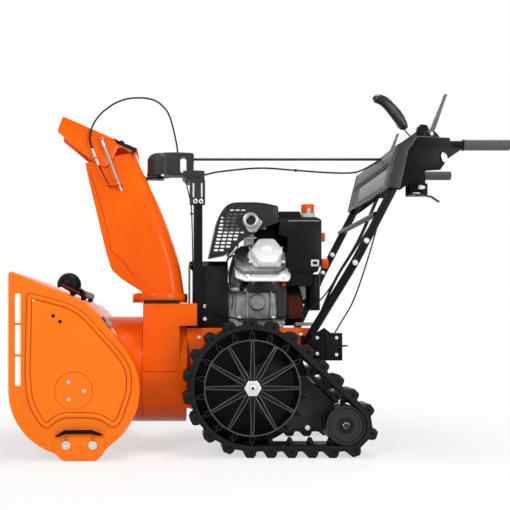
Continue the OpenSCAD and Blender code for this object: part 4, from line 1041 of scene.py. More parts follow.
        # A thin black strip on the outlet's near face, just under the collar, is the collar's painted shadow.
        self.add("outlet_painted_shadow", [block((-0.383, -0.1888, 0.4995), (-0.263, -0.15, 0.5096), 0.0005)],
                 "strip_black")
        x, z = self.shoulder()
        hook = fillet([(x - 0.001, z + 0.001), (x + 0.009, z + 0.005), (x + 0.0325, z - 0.0225),
                       (x + 0.032, z - 0.036)], [0.0005, 0.004, 0.006, 0.001])
        self.add("tool_clips", [cut_plate([hook], y, y + 0.06, 0.001) for y in (-0.3, 0.24)], "panel_pale")

    def shoulder(self) -> Flat:
        """Return the corner where the sheet's straight part meets the brow."""
        a = radians(self.leave)
        return (self.axis[0] + self.radius * cos(a) - self.straight * sin(a),
                self.axis[1] + self.radius * sin(a) + self.straight * cos(a))

    def outline(self) -> list[Flat]:
        """Return the outline of a side plate."""
        x, z = self.axis
        front = x - self.radius
        corner = self.shoulder()
        brow = (corner[0] - self.brow_step, corner[1] + self.brow_step)
        turn = arc(self.axis, self.radius, self.leave, -56)
        upper = fillet([(front, z), (front, self.top - 0.006), (front + 0.008, self.top), brow, corner,
                        turn[0]], [0, 0.004, 0.006, 0.02, 0.02, 0], 4)
        return [*upper[:-1], *turn, (x + 0.068, self.foot), (x - 0.029, self.foot),
                *arc(self.axis, self.radius, -108, -176)]

    def rib_line(self) -> list[Flat]:
        """Return the outer line of the pressed rib."""
        corners = [(-0.15, 0.314), (-0.157, 0.05), (-0.147, -0.045), (-0.107, -0.11), (-0.082, -0.124),
                   (-0.042, -0.087), (0.074, -0.087), (0.126, -0.122), (0.151, -0.1), (0.186, 0.0),
                   (0.183, 0.07), (0.15, 0.122), (0.016, 0.271)]
        bends = [0.022, 0.06, 0.05, 0.02, 0.022, 0.03, 0.03, 0.03, 0.04, 0.05, 0.04, 0.05, 0.06]
        return fillet([(self.axis[0] + x, self.axis[1] + z) for x, z in corners], bends, 6)

    def side_plate(self) -> Mesh:
        """Return the left side plate with its rim, rib, panel, slots and holes."""
        face = -self.half_width
        outline = self.outline()
        left = self.axis[0] - self.radius + self.slot_margin
        wide, tall = self.slot_size
        slots = [oblong((left, z), (left + wide, z + tall), 0.005)
                 for z in (self.slot_low + i * self.slot_pitch for i in range(3))]
        holes = [ring((-0.727, 0.509), 0.0055, 16, 7.0)]
        inner = inset(self.rib_line(), self.rib_width)
        base = cut_plate([outline, *slots, *holes], face, face + self.sheet)
        rim = cut_plate([outline, inset(outline, self.rim)], face - 0.0016, face + 0.001)
        rib = bead(self.rib_line(), self.rib_width, face + 0.0002, -self.rib_height)
        panel = cut_plate([inner, ring(self.axis, self.recess, 48), *holes], face - self.panel_lift,
            face + 0.001, 0.0005)
        lip = bead(ring(self.axis, self.recess + 0.005, 48), 0.007, face - self.panel_lift + 0.0003, -0.0012)
        return merged([base, rim, rib, panel, lip])

    def skid_outline(self) -> list[Flat]:
        """Return the outline of a skid shoe."""
        corners = [(-0.052, 0.0), (0.052, 0.0), (0.078, 0.024), (0.079, 0.076), (0.04, 0.098),
                   (-0.046, 0.098), (-0.079, 0.078), (-0.079, 0.026)]
        return fillet([(self.skid_x + x, z) for x, z in corners], 0.009, 4)

    def skid_shoe(self) -> Mesh:
        """Return the left skid shoe with its two height slots."""
        slots = [oblong((self.skid_x + s - 0.0055, 0.036), (self.skid_x + s + 0.0055, 0.083), 0.0054, 4)
                 for s in (-self.skid_bolt, self.skid_bolt)]
        return cut_plate([self.skid_outline(), *slots], -self.half_width - 0.005, -self.half_width - 0.0003,
            0.001)

    def skid_lip(self) -> Mesh:
        """Return the black lip along the top of a skid shoe."""
        upper = [(-0.077, 0.0795), (-0.046, 0.099), (0.04, 0.099), (0.077, 0.0836)]
        lower = [(0.056, 0.0825), (0.036, 0.0865), (-0.042, 0.0865), (-0.068, 0.077)]
        band = fillet([(self.skid_x + x, z) for x, z in upper + lower], 0.003)
        return cut_plate([band], -self.skid_reach, -self.half_width - 0.004, 0.001)


@dataclass(frozen=True)
class Station:
    """One cross-section of the chute: its front and back points and half width."""

    front: Flat
    back: Flat
    half: float

    def mixed(self, other: "Station", share: float) -> "Station":
        """Return the section a share of the way to another."""
        def lerp(a: float, b: float) -> float:
            """Return the number a share of the way from a to b."""
            return a + (b - a) * share
        return Station((lerp(self.front[0], other.front[0]), lerp(self.front[1], other.front[1])),
                       (lerp(self.back[0], other.back[0]), lerp(self.back[1], other.back[1])),
                       lerp(self.half, other.half))


@dataclass
class ChuteAssembly(Assembly):
    """Discharge chute, deflector, their cable and spring, and the turning gear."""

    axis: Flat = (-0.33, -0.08)
    wall: float = 0.003
    bend: float = 0.06
    ring_level: float = 0.5103
    ring_height: float = 0.0255
    ring_radius: float = 0.096
    bore: float = 0.074
    hinge: Flat = (-0.414, 1.027)
    ear_half: float = 0.0694
    peg: Flat = (-0.528, 1.058)
    clip: Flat = (-0.547, 0.993)
    cable_y: float = -0.161
    head_low: float = 0.944
    head_top: float = 1.024
    head_radius: float = 0.046
    post: Flat = (-0.2, -0.138)
    stations: tuple[Station, ...] = (
        Station((-0.392, 0.512), (-0.246, 0.512), 0.076), Station((-0.392, 0.543), (-0.246, 0.533), 0.076),
        Station((-0.482, 0.603), (-0.258, 0.612), 0.076), Station((-0.5045, 0.65), (-0.272, 0.672), 0.076),
        Station((-0.53, 0.748), (-0.305, 0.775), 0.074), Station((-0.554, 0.848), (-0.345, 0.872), 0.07),
        Station((-0.574, 0.93), (-0.384, 0.949), 0.067), Station((-0.584, 0.978), (-0.411, 1.019), 0.066))
    finishes: ClassVar[NodeLooks] = {"deflector_hinge": ("strip_black", 0.001),
        "chute_post": ("black_coat", 0.002), "control_rod": ("dark_steel", 0.0005)}

    def build(self) -> None:
        """Build the chute, deflector, cable, spring and gear head."""
        self.chute()
        self.deflector()
        self.hinge_lip()
        self.spring()
        self.cable()
        self.gear_head()

    def section(self, at: Station, inset_by: float) -> list[Vector]:
        """Return one cross-section, open at the front.

        Args:
            at: The section.
            inset_by: Distance from the outer face to the line.

        Returns:
            Points from the left front edge round the back to the right front edge.
        """
        back, front = Vector(at.back), Vector(at.front)
        depth = (front - back).length
        along = (front - back).normalized()
        half = at.half - inset_by
        bend = self.bend - inset_by
        left = [(depth, -half), (depth - 0.02, -half), (depth * 0.62, -half)]
        turn = [(self.bend - bend * sin(a), -(at.half - self.bend) - bend * cos(a))
                for a in map(radians, range(0, 91, 9))]
        flat = left + turn
        flat += [(u, -v) for u, v in reversed(flat)]
        return [Vector((back.x + along.x * u, self.axis[1] + v, back.y + along.y * u)) for u, v in flat]

    def rows(self) -> list[Station]:
        """Return the sections in fine steps, smooth along the chute."""
        first, rest = self.stations[0], self.stations[1:]
        keys = [(s.front[0], s.front[1], 0.0) for s in rest]
        backs = [(s.back[0], s.back[1], s.half) for s in rest]
        fronts, rears = curved(keys, 5), curved(backs, 5)
        fine = [Station((f.x, f.y), (b.x, b.y), b.z) for f, b in zip(fronts, rears)]
        return [first, first.mixed(rest[0], 0.5), *fine]

    def chute(self) -> None:
        """Build the chute's sheet with its fold lines in painted shade, ring, arm and cable tab, and a black
        ring painted as shade under the collar.
        """
        rows = self.rows()
        sheet = shell(*([self.section(row, depth) for row in rows] for depth in (0.0, self.wall)))
        x, y = self.axis
        r, low, high = self.ring_radius, self.ring_level, self.ring_level + self.ring_height
        collar = lathe([(self.bore, low + 0.002), (r, low + 0.002), (r, high - 0.005),
                        (r - 0.0015, high - 0.0015), (r - 0.005, high), (self.bore, high),
                        (self.bore, low + 0.002)], (x, y, 0), UP, 72)
        top = self.head_low - 0.005
        arm = block((-0.382, y - 0.02, top - 0.006), (x + 0.014, y + 0.02, top))
        shaft = lathe([(0.008, top - 0.006), (0.008, self.head_low + 0.034)], (x, y, 0), UP, 24)
        gear = lathe([(0.034, self.head_low + 0.03), (0.034, self.head_low + 0.04)], (x, y, 0), UP, 32)
        pins = [lathe([(0.0035, -0.06), (0.0035, 0.06)], (self.hinge[0], y, self.hinge[1]), (0, 1, 0), 16)]
        pins += [block((-0.418, y + s, self.hinge[1] - 0.016), (-0.405, y + s + 0.004, self.hinge[1] + 0.001))
                 for s in (-0.06, -0.002, 0.056)]
        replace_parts(self.add("chute_body_sheet", [sheet, collar, self.slotted_tab(), *pins], "orange_coat",
            "chute_body"), "chute")
        # The fold lines are thin beads in a darker orange: painted shade of the pressed step.
        self.add("chute_fold_shade_lines", self.fold_lines(), "orange_seam_and_shade", "chute_body")
        # A black ring under the collar stands in for the shaded gap there: painted shade.
        collar_gap_shade = lathe([(0.078, low - 0.0001), (r - 0.003, low - 0.0001), (r - 0.003, low + 0.003),
                      (0.078, low + 0.003), (0.078, low - 0.0001)], (x, y, 0), UP, 64)
        self.add("chute_crown", [arm, shaft, gear, collar_gap_shade], "black_coat", "chute_body")

    def slotted_tab(self) -> Mesh:
        """Return the tab on the chute's side that holds the spring and the inner cable."""
        near, far = self.cable_y - 0.013, self.axis[1] - 0.066
        outline = fillet([(-0.508, near), (-0.456, near), (-0.456, far), (-0.508, far)],
            [0.008, 0.008, 0.001, 0.001], 4)
        plate = cut_plate([outline, ring((-0.467, self.cable_y), 0.005, 16)], 0.9, 0.904, plane=Plane.XY)
        return merged([plate, block((-0.505, far - 0.003, 0.884), (-0.46, far + 0.001, 0.904))])

    def half_at(self, z: float) -> float:
        """Return the chute's half width at a height, near its front edge."""
        for low, high in zip(self.stations, self.stations[1:]):
            if z <= high.front[1]:
                share = (z - low.front[1]) / (high.front[1] - low.front[1])
                return low.half + (high.half - low.half) * max(0.0, share)
        return self.stations[-1].half

    def fold_lines(self) -> list[Mesh]:
        """Return the pressed line behind the chute's front edge, on both walls, as a thin bead whose darker
        orange is painted shade.
        """
        line = [(-0.572, 0.962), (-0.56, 0.925), (-0.54, 0.863), (-0.518, 0.79), (-0.501, 0.712),
                (-0.495, 0.68), (-0.474, 0.66), (-0.452, 0.642), (-0.434, 0.612), (-0.42, 0.6),
                (-0.392, 0.599)]
        lines: list[Mesh] = []
        for side in Side:
            path = curved([(x, self.axis[1] + side.value * (self.half_at(z) - 0.0004), z) for x, z in line],
                          4)
            size = len(path)
            lines.append(sweep(path, [0.0014 * min(1.0, 0.3 + 0.25 * i, 0.3 + 0.12 * (size - 1 - i))
                for i in range(size)], 8))
        return lines

    def deflector(self) -> None:
        """Build the deflector's ears, roof, cable clip, spring peg and hinge bolts."""
        y = self.axis[1]
        ear = [(-0.428, 1.034), (-0.49, 1.061), (-0.659, 1.136), (-0.679, 1.084), (-0.572, 0.996),
               (-0.552, 0.981), (-0.534, 0.966), (-0.512, 0.964), (-0.498, 0.978), (-0.473, 1.028)]
        outline = fillet(ear, [0.002, 0.001, 0.008, 0.012, 0.006, 0.004, 0.012, 0.012, 0.01, 0.002], 5)
        meshes = [cut_plate([outline], y + side.value * self.ear_half,
            y + side.value * (self.ear_half + self.wall)) for side in Side]
        slope = Vector((ear[2][0] - ear[1][0], ear[2][1] - ear[1][1])).normalized()
        down = Vector((slope.y, -slope.x)) * self.wall
        if down.y > 0:
            down.negate()
        line = [Vector(p) for p in ear[:3]]
        roof = [(p.x, p.y) for p in line] + [((p + down).x, (p + down).y) for p in reversed(line)]
        meshes.append(cut_plate([roof], y - self.ear_half - 0.001, y + self.ear_half + 0.001))
        clip = Matrix.Translation(Vector((self.clip[0], 0, self.clip[1])))
        outer, inner = y - self.ear_half - 0.022, y - self.ear_half + 0.001
        tab = cut_plate([fillet([(-0.011, outer), (0.011, outer), (0.011, inner), (-0.011, inner)],
            [0.006, 0.006, 0.0005, 0.0005], 4), ring((0, self.cable_y), 0.0054, 16)], -0.002, 0.002,
                        plane=Plane.XY)
        tab.transform(clip @ Matrix.Rotation(radians(-24), 4, "Y"))
        meshes += [tab, lathe([(0.004, 0), (0.004, 0.016), (0.006, 0.0162), (0.006, 0.0185)],
            (self.peg[0], y - self.ear_half, self.peg[1]), OUT, 18)]
        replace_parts(self.add("deflector_sheet", meshes, "orange_coat", "deflector_body"), "deflector")
        caps = [lathe([(0.0062, 0), (0.0062, 0.002), (0.004, 0.0036)], (-0.4585, y + s, 1.0585),
                      (0.39, 0, 0.92), 12) for s in (-0.044, -0.015, 0.015, 0.044)]
        self.add("hinge_bolts", caps, "zinc", "deflector_body")

    def hinge_lip(self) -> None:
        """Build the black hinge strip folded over the deflector's foot, with its bolts."""
        lip = fillet([(-0.484, 1.059), (-0.409, 1.027), (-0.411, 1.013), (-0.477, 1.044)], 0.002)
        meshes = [cut_plate([lip], near, near + 0.0032, 0.0008) for near in (-0.1532, -0.01)]
        self.add("hinge_lips", meshes, "strip_black", "deflector_body")
        slope = Vector((-0.484, 0, 1.059)) - Vector((-0.409, 0, 1.027))
        up = Vector((-slope.z, 0, slope.x)).normalized()
        up = up if up.z > 0 else -up
        bolts = [bolt(Vector((-0.409, y, 1.0262)) + t * slope, 0.0056, 0.0042, 0.004, up)
                 for t in (0.16, 0.5, 0.84) for y in (-0.146, -0.014)]
        self.add("hinge_lip_bolts", bolts, "zinc", "deflector_body")

    def spring(self) -> None:
        """Build the tension spring between the chute's tab and the deflector's peg."""
        top = Vector((self.peg[0] + 0.0018, self.cable_y, self.peg[1] - 0.0047))
        low = Vector((-0.471, self.cable_y, 0.912))
        along = (low - top).normalized()
        side = along.orthogonal().normalized()
        other = along.cross(side)
        turns, steps, coil, wire = 46, 10, 0.0046, 0.00115
        start = top + along * 0.016
        path: list[Vector] = []
        for i in range(turns * steps + 1):
            a = 2 * pi * i / steps
            path.append(start.lerp(low, i / (turns * steps)) + coil * (cos(a) * side + sin(a) * other))
        coils = sweep(path, wire, 6)
        peg = Vector((self.peg[0], self.cable_y, self.peg[1]))
        hook = [start + coil * side * 0.2, top + along * 0.006]
        around = [peg + 0.0056 * Vector((cos(a), 0, sin(a))) for a in map(radians, range(-60, 200, 20))]
        upper = sweep(curved(hook + around, 3), 0.0017, 8)
        sleeve = lathe([(0.0052, 0), (0.0058, 0.003), (0.0058, 0.017), (0.0046, 0.021)], top + along * 0.003,
                       along, 18)
        profile = [(0.0036, -0.006), (0.0036, 0.026), (0.0026, 0.03)]
        end = lathe(profile, (-0.4695, self.cable_y, 0.9085), along, 14)
        bodies = ("chute_body", "deflector_body")
        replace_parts(self.bridge("deflector_coil_spring", [coils, upper, sleeve, end], "spring_steel", bodies,
            (low, top)), "deflector_spring")
        line = ((-0.537, 0.9685), (-0.521, 0.9368), (-0.505, 0.904))
        inner = sweep([Vector((x, self.cable_y, z)) for x, z in line], 0.002, 8)
        nipple = lathe([(0.004, 0.899), (0.004, 0.909)], (-0.5035, self.cable_y, 0), UP, 12)
        self.bridge("deflector_inner_wire", [inner, nipple], "jacket_black", bodies,
                    ((-0.505, self.cable_y, 0.905), (-0.537, self.cable_y, 0.968)))

    def cable(self) -> None:
        """Build the deflector cable, parted at its crown, and its ferrules."""
        c = self.cable_y
        rise = [(-0.5575, c, 1.02), (-0.562, c, 1.033), (-0.567, c, 1.05), (-0.567, c + 0.002, 1.072),
                (-0.557, c + 0.006, 1.106), (-0.535, c + 0.01, 1.14), (-0.51, -0.142, 1.165),
                (-0.48, -0.134, 1.187), (-0.44, -0.126, 1.203), (-0.395, -0.118, 1.208)]
        fall = [(-0.36, -0.112, 1.205), (-0.332, -0.107, 1.193), (-0.305, -0.103, 1.165),
                (-0.292, -0.101, 1.135), (-0.282, -0.1, 1.098), (-0.273, -0.1, 1.055),
                (-0.268, -0.1, self.head_top - 0.0035)]
        whole = curved(rise + fall, 5)
        parting = (len(rise) - 1) * 5
        front = self.bridge("deflector_cable_front", [sweep(whole[:parting + 1], 0.003, 12)], "jacket_black",
            ("chute_body", "deflector_body"), (whole[parting], (-0.5575, c, 1.02)))
        self.bridge("deflector_cable_rear", [sweep(whole[parting:], 0.003, 12)], "jacket_black",
                    ("chassis", "chute_body"), ((-0.268, -0.1, 1.024), whole[parting]))
        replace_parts(front, "deflector_cable")
        turned = (([(0.0036, -0.004), (0.0044, 0.0), (0.0044, 0.022), (0.0036, 0.0262)], 18),
                  ([(0.0075, 0.0245), (0.0075, 0.0275)], 6), ([(0.0075, 0.0335), (0.0075, 0.0375)], 6),
                  ([(0.0046, 0.0262), (0.0046, 0.05), (0.0034, 0.056)], 18))
        ferrules = [lathe(profile, (-0.5575, c, 1.02), (0.37, 0, -0.929), count) for profile, count in turned]
        self.add("cable_ferrules", ferrules, "cap_white", "deflector_body")

    def gear_head(self) -> None:
        """Build the gear head with its screw, and the clamp on the post with its slots."""
        x, y = self.axis
        low, top, r = self.head_low, self.head_top, self.head_radius
        profile = [(r - 0.006, low), (r, low + 0.0005), (r, low + 0.007), (r - 0.0018, low + 0.008),
                   (r - 0.0018, top - 0.028)]
        profile += [(r - 0.0018 - 0.026 * (1 - cos(a)), top - 0.028 + 0.027 * sin(a))
                    for a in map(radians, range(15, 91, 15))]
        dome = lathe(profile, (x, y, 0), UP, 64)
        slot = oblong((-0.26, low + 0.008), (-0.238, top - 0.012), 0.0108, 6)
        cheek = fillet([(x + 0.012, low + 0.0005), (-0.214, low + 0.0005), (-0.212, top - 0.01),
                        (-0.216, top - 0.003), (-0.27, top - 0.0005), (x + 0.01, top - 0.0015)],
                       [0.003, 0.004, 0.006, 0.006, 0.02, 0.003], 4)
        box = cut_plate([cheek, slot], y - 0.031, y + 0.031, 0.003)
        rib = cut_plate([oblong((-0.302, low + 0.003), (-0.296, top - 0.004), 0.002)], y - 0.0335, y + 0.0335,
                        0.0015)
        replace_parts(self.add("gear_head_case", [dome, box, rib, *self.clamp()], "frame_grey"), "gear_head")
        px, py = self.post
        face = py - 0.021
        strips = [cut_plate([oblong((sx - 0.0026, 0.86), (sx + 0.0026, 0.908), 0.0024)], face - 0.0008,
            face + 0.001, 0.0003) for sx in (px - 0.016, px + 0.012)]
        self.add("clamp_slots", strips, "cap_white")
        screw = lathe([(0.008, 0), (0.008, 0.002), (0.005, 0.0022), (0.005, 0.0035), (0.003, 0.0042)],
                      (x + 0.008, y - 0.034, low), (0, 0, -1), 12)
        self.add("gear_head_screw", [screw], "zinc")

    def clamp(self) -> list[Mesh]:
        """Return the bracket under the gear head that clips round the post."""
        px, py = self.post
        front = py - 0.021
        shelf = fillet([(-0.252, 0.934), (-0.236, 0.919), (-0.18, 0.919), (-0.178, 0.924), (-0.178, 0.95),
                        (-0.214, 0.952), (-0.252, 0.95)], 0.004)
        clip = oblong((-0.228, 0.838), (-0.176, 0.921), 0.003)
        near = cut_plate([shelf], front, self.axis[1] + 0.03, 0.0015)
        plate = cut_plate([clip], front, py - 0.0155, 0.0012)
        back = cut_plate([clip], py + 0.0155, py + 0.021, 0.0012)
        sides = [block((sx, front + 0.002, 0.838), (sx + 0.0085, py + 0.019, 0.921))
                 for sx in (px - 0.026, px + 0.0155)]
        return [near, plate, back, *sides]


@dataclass
class Engine(Assembly):
    """Engine with its covers, muffler, tank and the small pieces bolted to it."""

    bore: Point = (0.016, 0.0, 0.52)
    lean: float = 48.0
    nod: float = 12.0
    cover_middle: Flat = (0.008, -0.002)
    port: Flat = (-0.026, 0.778)
    guard_face: float = -0.184
    cap_place: Point = (0.194, -0.022, 0.822)
    case_bolts: tuple[Flat, ...] = ((-0.058, 0.452), (0.06, 0.452), (-0.056, 0.56), (0.056, 0.56),
        (0.0, 0.572))
    finishes: ClassVar[NodeLooks] = {"engine_block": ("cast_grey", 0.0012), "muffler": ("exhaust", 0.002),
        "air_box": ("box_black", 0.006), "fuel_tank": ("black_shell", 0.006),
        "electric_starter": ("black_shell", 0.003), "recoil_housing": ("black_shell", 0.006),
        "crankshaft": ("steel", 0.001), "engine_pulley": ("steel", 0.001),
        "fuel_cap": ("knob_orange", 0.0015), "choke_knob": ("knob_orange", 0.0015),
        "throttle_knob": ("knob_orange", 0.0015)}

    def build(self) -> None:
        """Build the covers and bolted pieces."""
        self.valve_cover()
        self.exhaust()
        self.muffler_guard()
        self.head_pieces()
        self.crankcase_pieces()
        self.controls()

    def faced(self, mesh: Mesh) -> Mesh:
        """Return a mesh of the cylinder's frame, nodded about the valve cover's foot towards the side."""
        foot = Vector((0.024, -0.16, 0.668))
        shift = Matrix.Translation(foot + Vector((0.008, 0, 0.007)))
        mesh = self.tilted(mesh)
        mesh.transform(shift @ Matrix.Rotation(radians(self.nod), 4, "X") @ Matrix.Translation(-foot))
        return mesh

    def tilted(self, mesh: Mesh) -> Mesh:
        """Return a mesh turned from the cylinder's frame into the machine's."""
        mesh.transform(Matrix.Translation(Vector(self.bore)) @ Matrix.Rotation(radians(self.lean), 4, "X"))
        return mesh

    def hexagon(self, wide: float, tall: float, bend: float) -> list[Flat]:
        """Return a layer's outline from half its width over corners, its height's scale and its bend."""
        x, y = self.cover_middle
        turns = map(radians, range(0, 360, 60))
        return fillet([(x + wide * cos(a), y + wide * tall * sin(a)) for a in turns], bend, 4)

    def valve_cover(self) -> None:
        """Build the stepped white valve cover with its round emboss."""
        layers = ((0.068, 1.0, 0.018, 0.2, 0.206, 0.0014), (0.0575, 1.02, 0.01, 0.2055, 0.226, 0.003),
                  (0.054, 1.04, 0.009, 0.224, 0.234, 0.0022))
        meshes = [cut_plate([self.hexagon(*shape)], low, high, bend, Plane.XY)
                  for *shape, low, high, bend in layers]
        x, y = self.cover_middle
        meshes.append(lathe([(0.0235, 0.2335), (0.0215, 0.2352), (0.0195, 0.2352), (0.0175, 0.2338),
            (0.007, 0.2338), (0.0062, 0.235), (0.003, 0.2356)], (x, y, 0), UP))
        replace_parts(self.add("valve_cover_shell", [self.faced(mesh) for mesh in meshes], "cover_white"),
                    "valve_cover")
        bolts = [self.faced(bolt((x + sx * 0.056, y + sy * 0.03, 0.208), 0.006, 0.0046, 0.005, UP))
                 for sx in (-1, 1) for sy in (-1, 1)]
        self.add("valve_cover_bolts", bolts, "zinc")

    def exhaust(self) -> None:
        """Build the exhaust ring, its bracket and the pipe to the head."""
        x, z = self.port
        face = self.guard_face
        outlet = lathe([(0.0165, -0.012), (0.0165, 0.013), (0.02, 0.0145), (0.0255, 0.013), (0.0265, 0.01),
                        (0.0245, -0.012), (0.0165, -0.012)], (x, face, z), OUT, 48)
        plate = fillet([(x - 0.024, z - 0.01), (x - 0.006, z - 0.04), (x + 0.019, z - 0.04),
                        (x + 0.0415, z - 0.006), (x + 0.024, z + 0.01), (x, z + 0.022)],
                       [0.01, 0.006, 0.004, 0.005, 0.012, 0.014], 4)
        bracket = cut_plate([plate, ring((x, z), 0.02)], face - 0.008, face - 0.003, 0.0012)
        self.add("exhaust_outlet", [outlet, bracket], "exhaust")
        dark = lathe([(0.0163, -0.004), (0.0163, -0.002)], (x, face, z), OUT, 24)
        self.add("exhaust_baffle", [dark], "dark_steel")
        rim = [(x - 0.043, z - 0.068), (x - 0.028, z - 0.058), (x + 0.006, z - 0.056), (x + 0.022, z - 0.055)]
        bead_path = curved([(px, face + 0.02, pz) for px, pz in rim], 5)
        pipe_path = curved([(-0.099, -0.158, 0.658), (-0.088, -0.156, 0.672), (-0.072, -0.152, 0.692),
            (-0.066, -0.128, 0.71)], 5)
        self.add("exhaust_pipe", [sweep(pipe_path, 0.008, 16), sweep(bead_path, 0.004, 10)], "exhaust")

    def muffler_guard(self) -> None:
        """Build the muffler's guard: a pressed sheet with a grid of fine slots and a folded wall."""
        near, far = self.guard_face, self.guard_face + 0.121
        path = fillet([(-0.164, 0.657), (-0.133, 0.795), (-0.099, 0.839), (0.008, 0.84), (0.068, 0.827),
                       (0.07, 0.772), (-0.008, 0.745), (-0.058, 0.712), (-0.104, 0.668)],
                      [0.004, 0.05, 0.055, 0.03, 0.008, 0.006, 0.03, 0.03, 0.01], 5)
        clear = inset(path, 0.007)
        slots: list[list[Flat]] = []
        for row in range(12):
            z = 0.6755 + 0.0121 * row
            left = -0.164 + 0.2246 * (z - 0.657) + 0.012 + 0.4 * max(0.0, z - 0.795)
            for k in range(5 if row < 11 else 4):
                x = left + 0.0188 * k
                spot = [(x, z), (x + 0.0138, z), (x + 0.0138, z + 0.0064), (x, z + 0.0064)]
                close = hypot(x + 0.007 - self.port[0], z + 0.003 - self.port[1]) < 0.037
                if not close and all(inside(Vector(p), [clear]) for p in spot):
                    slots.append(fillet(spot, 0.0018, 2))
        face = cut_plate([path, *slots], near, near + 0.0018, 0.0004)
        wall = cut_plate([path, inset(path, 0.002)], near + 0.0004, far, 0.0004)
        lip = cut_plate([path, inset(path, 0.004)], near - 0.0012, near + 0.0008, 0.0008)
        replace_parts(self.add("muffler_guard_sheet", [face, wall, lip], "guard_black"), "muffler_guard")

    def head_pieces(self) -> None:
        """Build the shroud, the plug with its lead and the bolts round the cylinder head."""
        shroud = fillet([(-0.092, -0.072), (-0.06, -0.09), (0.086, -0.09), (0.094, -0.07), (0.094, -0.03),
            (0.06, -0.03), (0.05, -0.06), (-0.04, -0.06), (-0.06, -0.02), (-0.092, -0.02)], 0.006, 4)
        plate = self.tilted(cut_plate([shroud], 0.178, 0.1835, 0.0012, Plane.XY))
        boss = [self.tilted(bolt((bx, by, 0.1835), 0.0085, 0.0062, 0.007, UP))
                for bx, by in ((-0.052, -0.072), (0.07, -0.074), (-0.08, -0.036))]
        self.add("head_shroud", [plate], "cover_white")
        profile = [(0.011, 0), (0.011, 0.01), (0.0075, 0.012), (0.0075, 0.03), (0.009, 0.032), (0.009, 0.05),
                   (0.006, 0.054)]
        plug = self.tilted(lathe(profile, (-0.055, -0.06, 0.15), (-0.35, -1, 0.2), 16))
        self.add("spark_plug_boot", [plug], "black_shell")
        lead = curved([(-0.05, -0.19, 0.64), (-0.078, -0.185, 0.66), (-0.1, -0.165, 0.65),
                       (-0.104, -0.14, 0.62)])
        self.add("plug_lead", [sweep(lead, 0.0032, 10)], "jacket_black")
        studs = boss + [self.tilted(bolt((bx, by, 0.15), 0.007, 0.005, 0.006))
                        for bx, by in ((-0.03, -0.066), (0.04, -0.066))]
        self.add("head_bolts", studs, "zinc")

    def crankcase_pieces(self) -> None:
        """Build the crankcase's cover, bolts and oil cap, the brackets, rod and elbow round it, and a dark
        brown plate that paints the orange reflection on the black shroud.
        """
        face = -0.105
        cover = fillet([(-0.06, 0.44), (0.062, 0.44), (0.078, 0.47), (0.06, 0.545), (0.02, 0.575),
                        (-0.04, 0.575), (-0.066, 0.545), (-0.07, 0.47)], 0.014, 5)
        side = cut_plate([cover], face - 0.01, face + 0.002, 0.0025)
        ribs = [cut_plate([oblong((rx - 0.003, 0.45), (rx + 0.003, 0.56), 0.0025)], face - 0.016, face, 0.001)
                for rx in (-0.03, 0.052)]
        lug = [lathe([(0.01, 0), (0.01, 0.016), (0.008, 0.018)], (lx, face, lz), OUT, 18)
               for lx, lz in self.case_bolts]
        boss = lathe([(0.03, 0), (0.03, 0.012), (0.024, 0.016), (0.01, 0.016)], (0.006, face - 0.008, 0.505),
                     OUT, 36)
        feet = [block((fx, -0.132, 0.4175), (fx + 0.034, -0.098, 0.431)) for fx in (-0.075, 0.048)]
        shelf = block((-0.09, -0.126, 0.431), (0.1, -0.1, 0.437))
        self.add("crankcase_cover", [side, *ribs, *lug, boss, *feet, shelf], "cast_grey")
        bolts = [bolt((lx, face - 0.018, lz), 0.0075, 0.0056, 0.006) for lx, lz in self.case_bolts]
        self.add("case_bolts", bolts, "zinc")
        plug = lathe([(0.0075, 0), (0.0075, 0.022), (0.006, 0.024)], (0.094, -0.118, 0.572), (0, -1, -0.3),
                     20)
        self.add("oil_filler_cap", [plug], "knob_orange")
        wedge = fillet([(0.14, 0.584), (0.172, 0.577), (0.175, 0.52), (0.166, 0.512), (0.157, 0.545)], 0.003)
        self.add("starter_bracket", [cut_plate([wedge], -0.0985, -0.09, 0.0008)], "panel_pale")
        band = fillet([(0.071, 0.566), (0.104, 0.566), (0.104, 0.446), (0.076, 0.446)], 0.004)
        self.add("shroud_band", [cut_plate([band], -0.1235, -0.104, 0.0008)], "black_gloss")
        self.add("engine_base", [block((0.135, -0.132, 0.424), (0.196, -0.1, 0.436))], "panel_pale")
        # A dark brown plate on the black shroud is a painted reflection of the orange chassis.
        plate = fillet([(0.103, 0.533), (0.15, 0.53), (0.166, 0.5), (0.166, 0.452), (0.112, 0.448)], 0.006)
        self.add("shroud_orange_reflection", [cut_plate([plate], -0.0975, -0.09, 0.0008)], "orange_painted_reflection")
        arm = curved([(-0.086, -0.112, 0.585), (-0.084, -0.128, 0.56), (-0.08, -0.134, 0.52),
                      (-0.084, -0.13, 0.48)])
        self.add("governor_rod", [sweep(arm, 0.0022, 8)], "dark_steel")
        elbow = curved([(-0.08, -0.108, 0.545), (-0.082, -0.124, 0.548), (-0.06, -0.134, 0.548),
                        (-0.036, -0.13, 0.546)])
        self.add("intake_elbow", [sweep(elbow, 0.012, 18)], "cast_grey")

    def controls(self) -> None:
        """Build the fuel cap's base, the heater box's square clip and the painted highlight along its lid, and
        the choke's rose.
        """
        x, y, z = self.cap_place
        skirt = lathe([(0.021, -0.0165), (0.0275, -0.015), (0.0265, -0.004), (0.0255, -0.0005),
                       (0.0155, -0.0005), (0.0155, -0.0165), (0.021, -0.0165)], (x, y, z), UP)
        tongue = cut_plate([oblong((x - 0.007, z - 0.002), (x + 0.007, z + 0.016), 0.004, 4)], y - 0.026,
            y - 0.0222, 0.001)
        self.add("cap_base", [skirt, tongue], "cap_base")
        edge = oblong((0.1765, 0.624), (0.2035, 0.646), 0.003)
        clip = cut_plate([edge, inset(edge, 0.006)], -0.194, -0.187, 0.0008)
        self.add("box_clip", [clip], "cap_base")
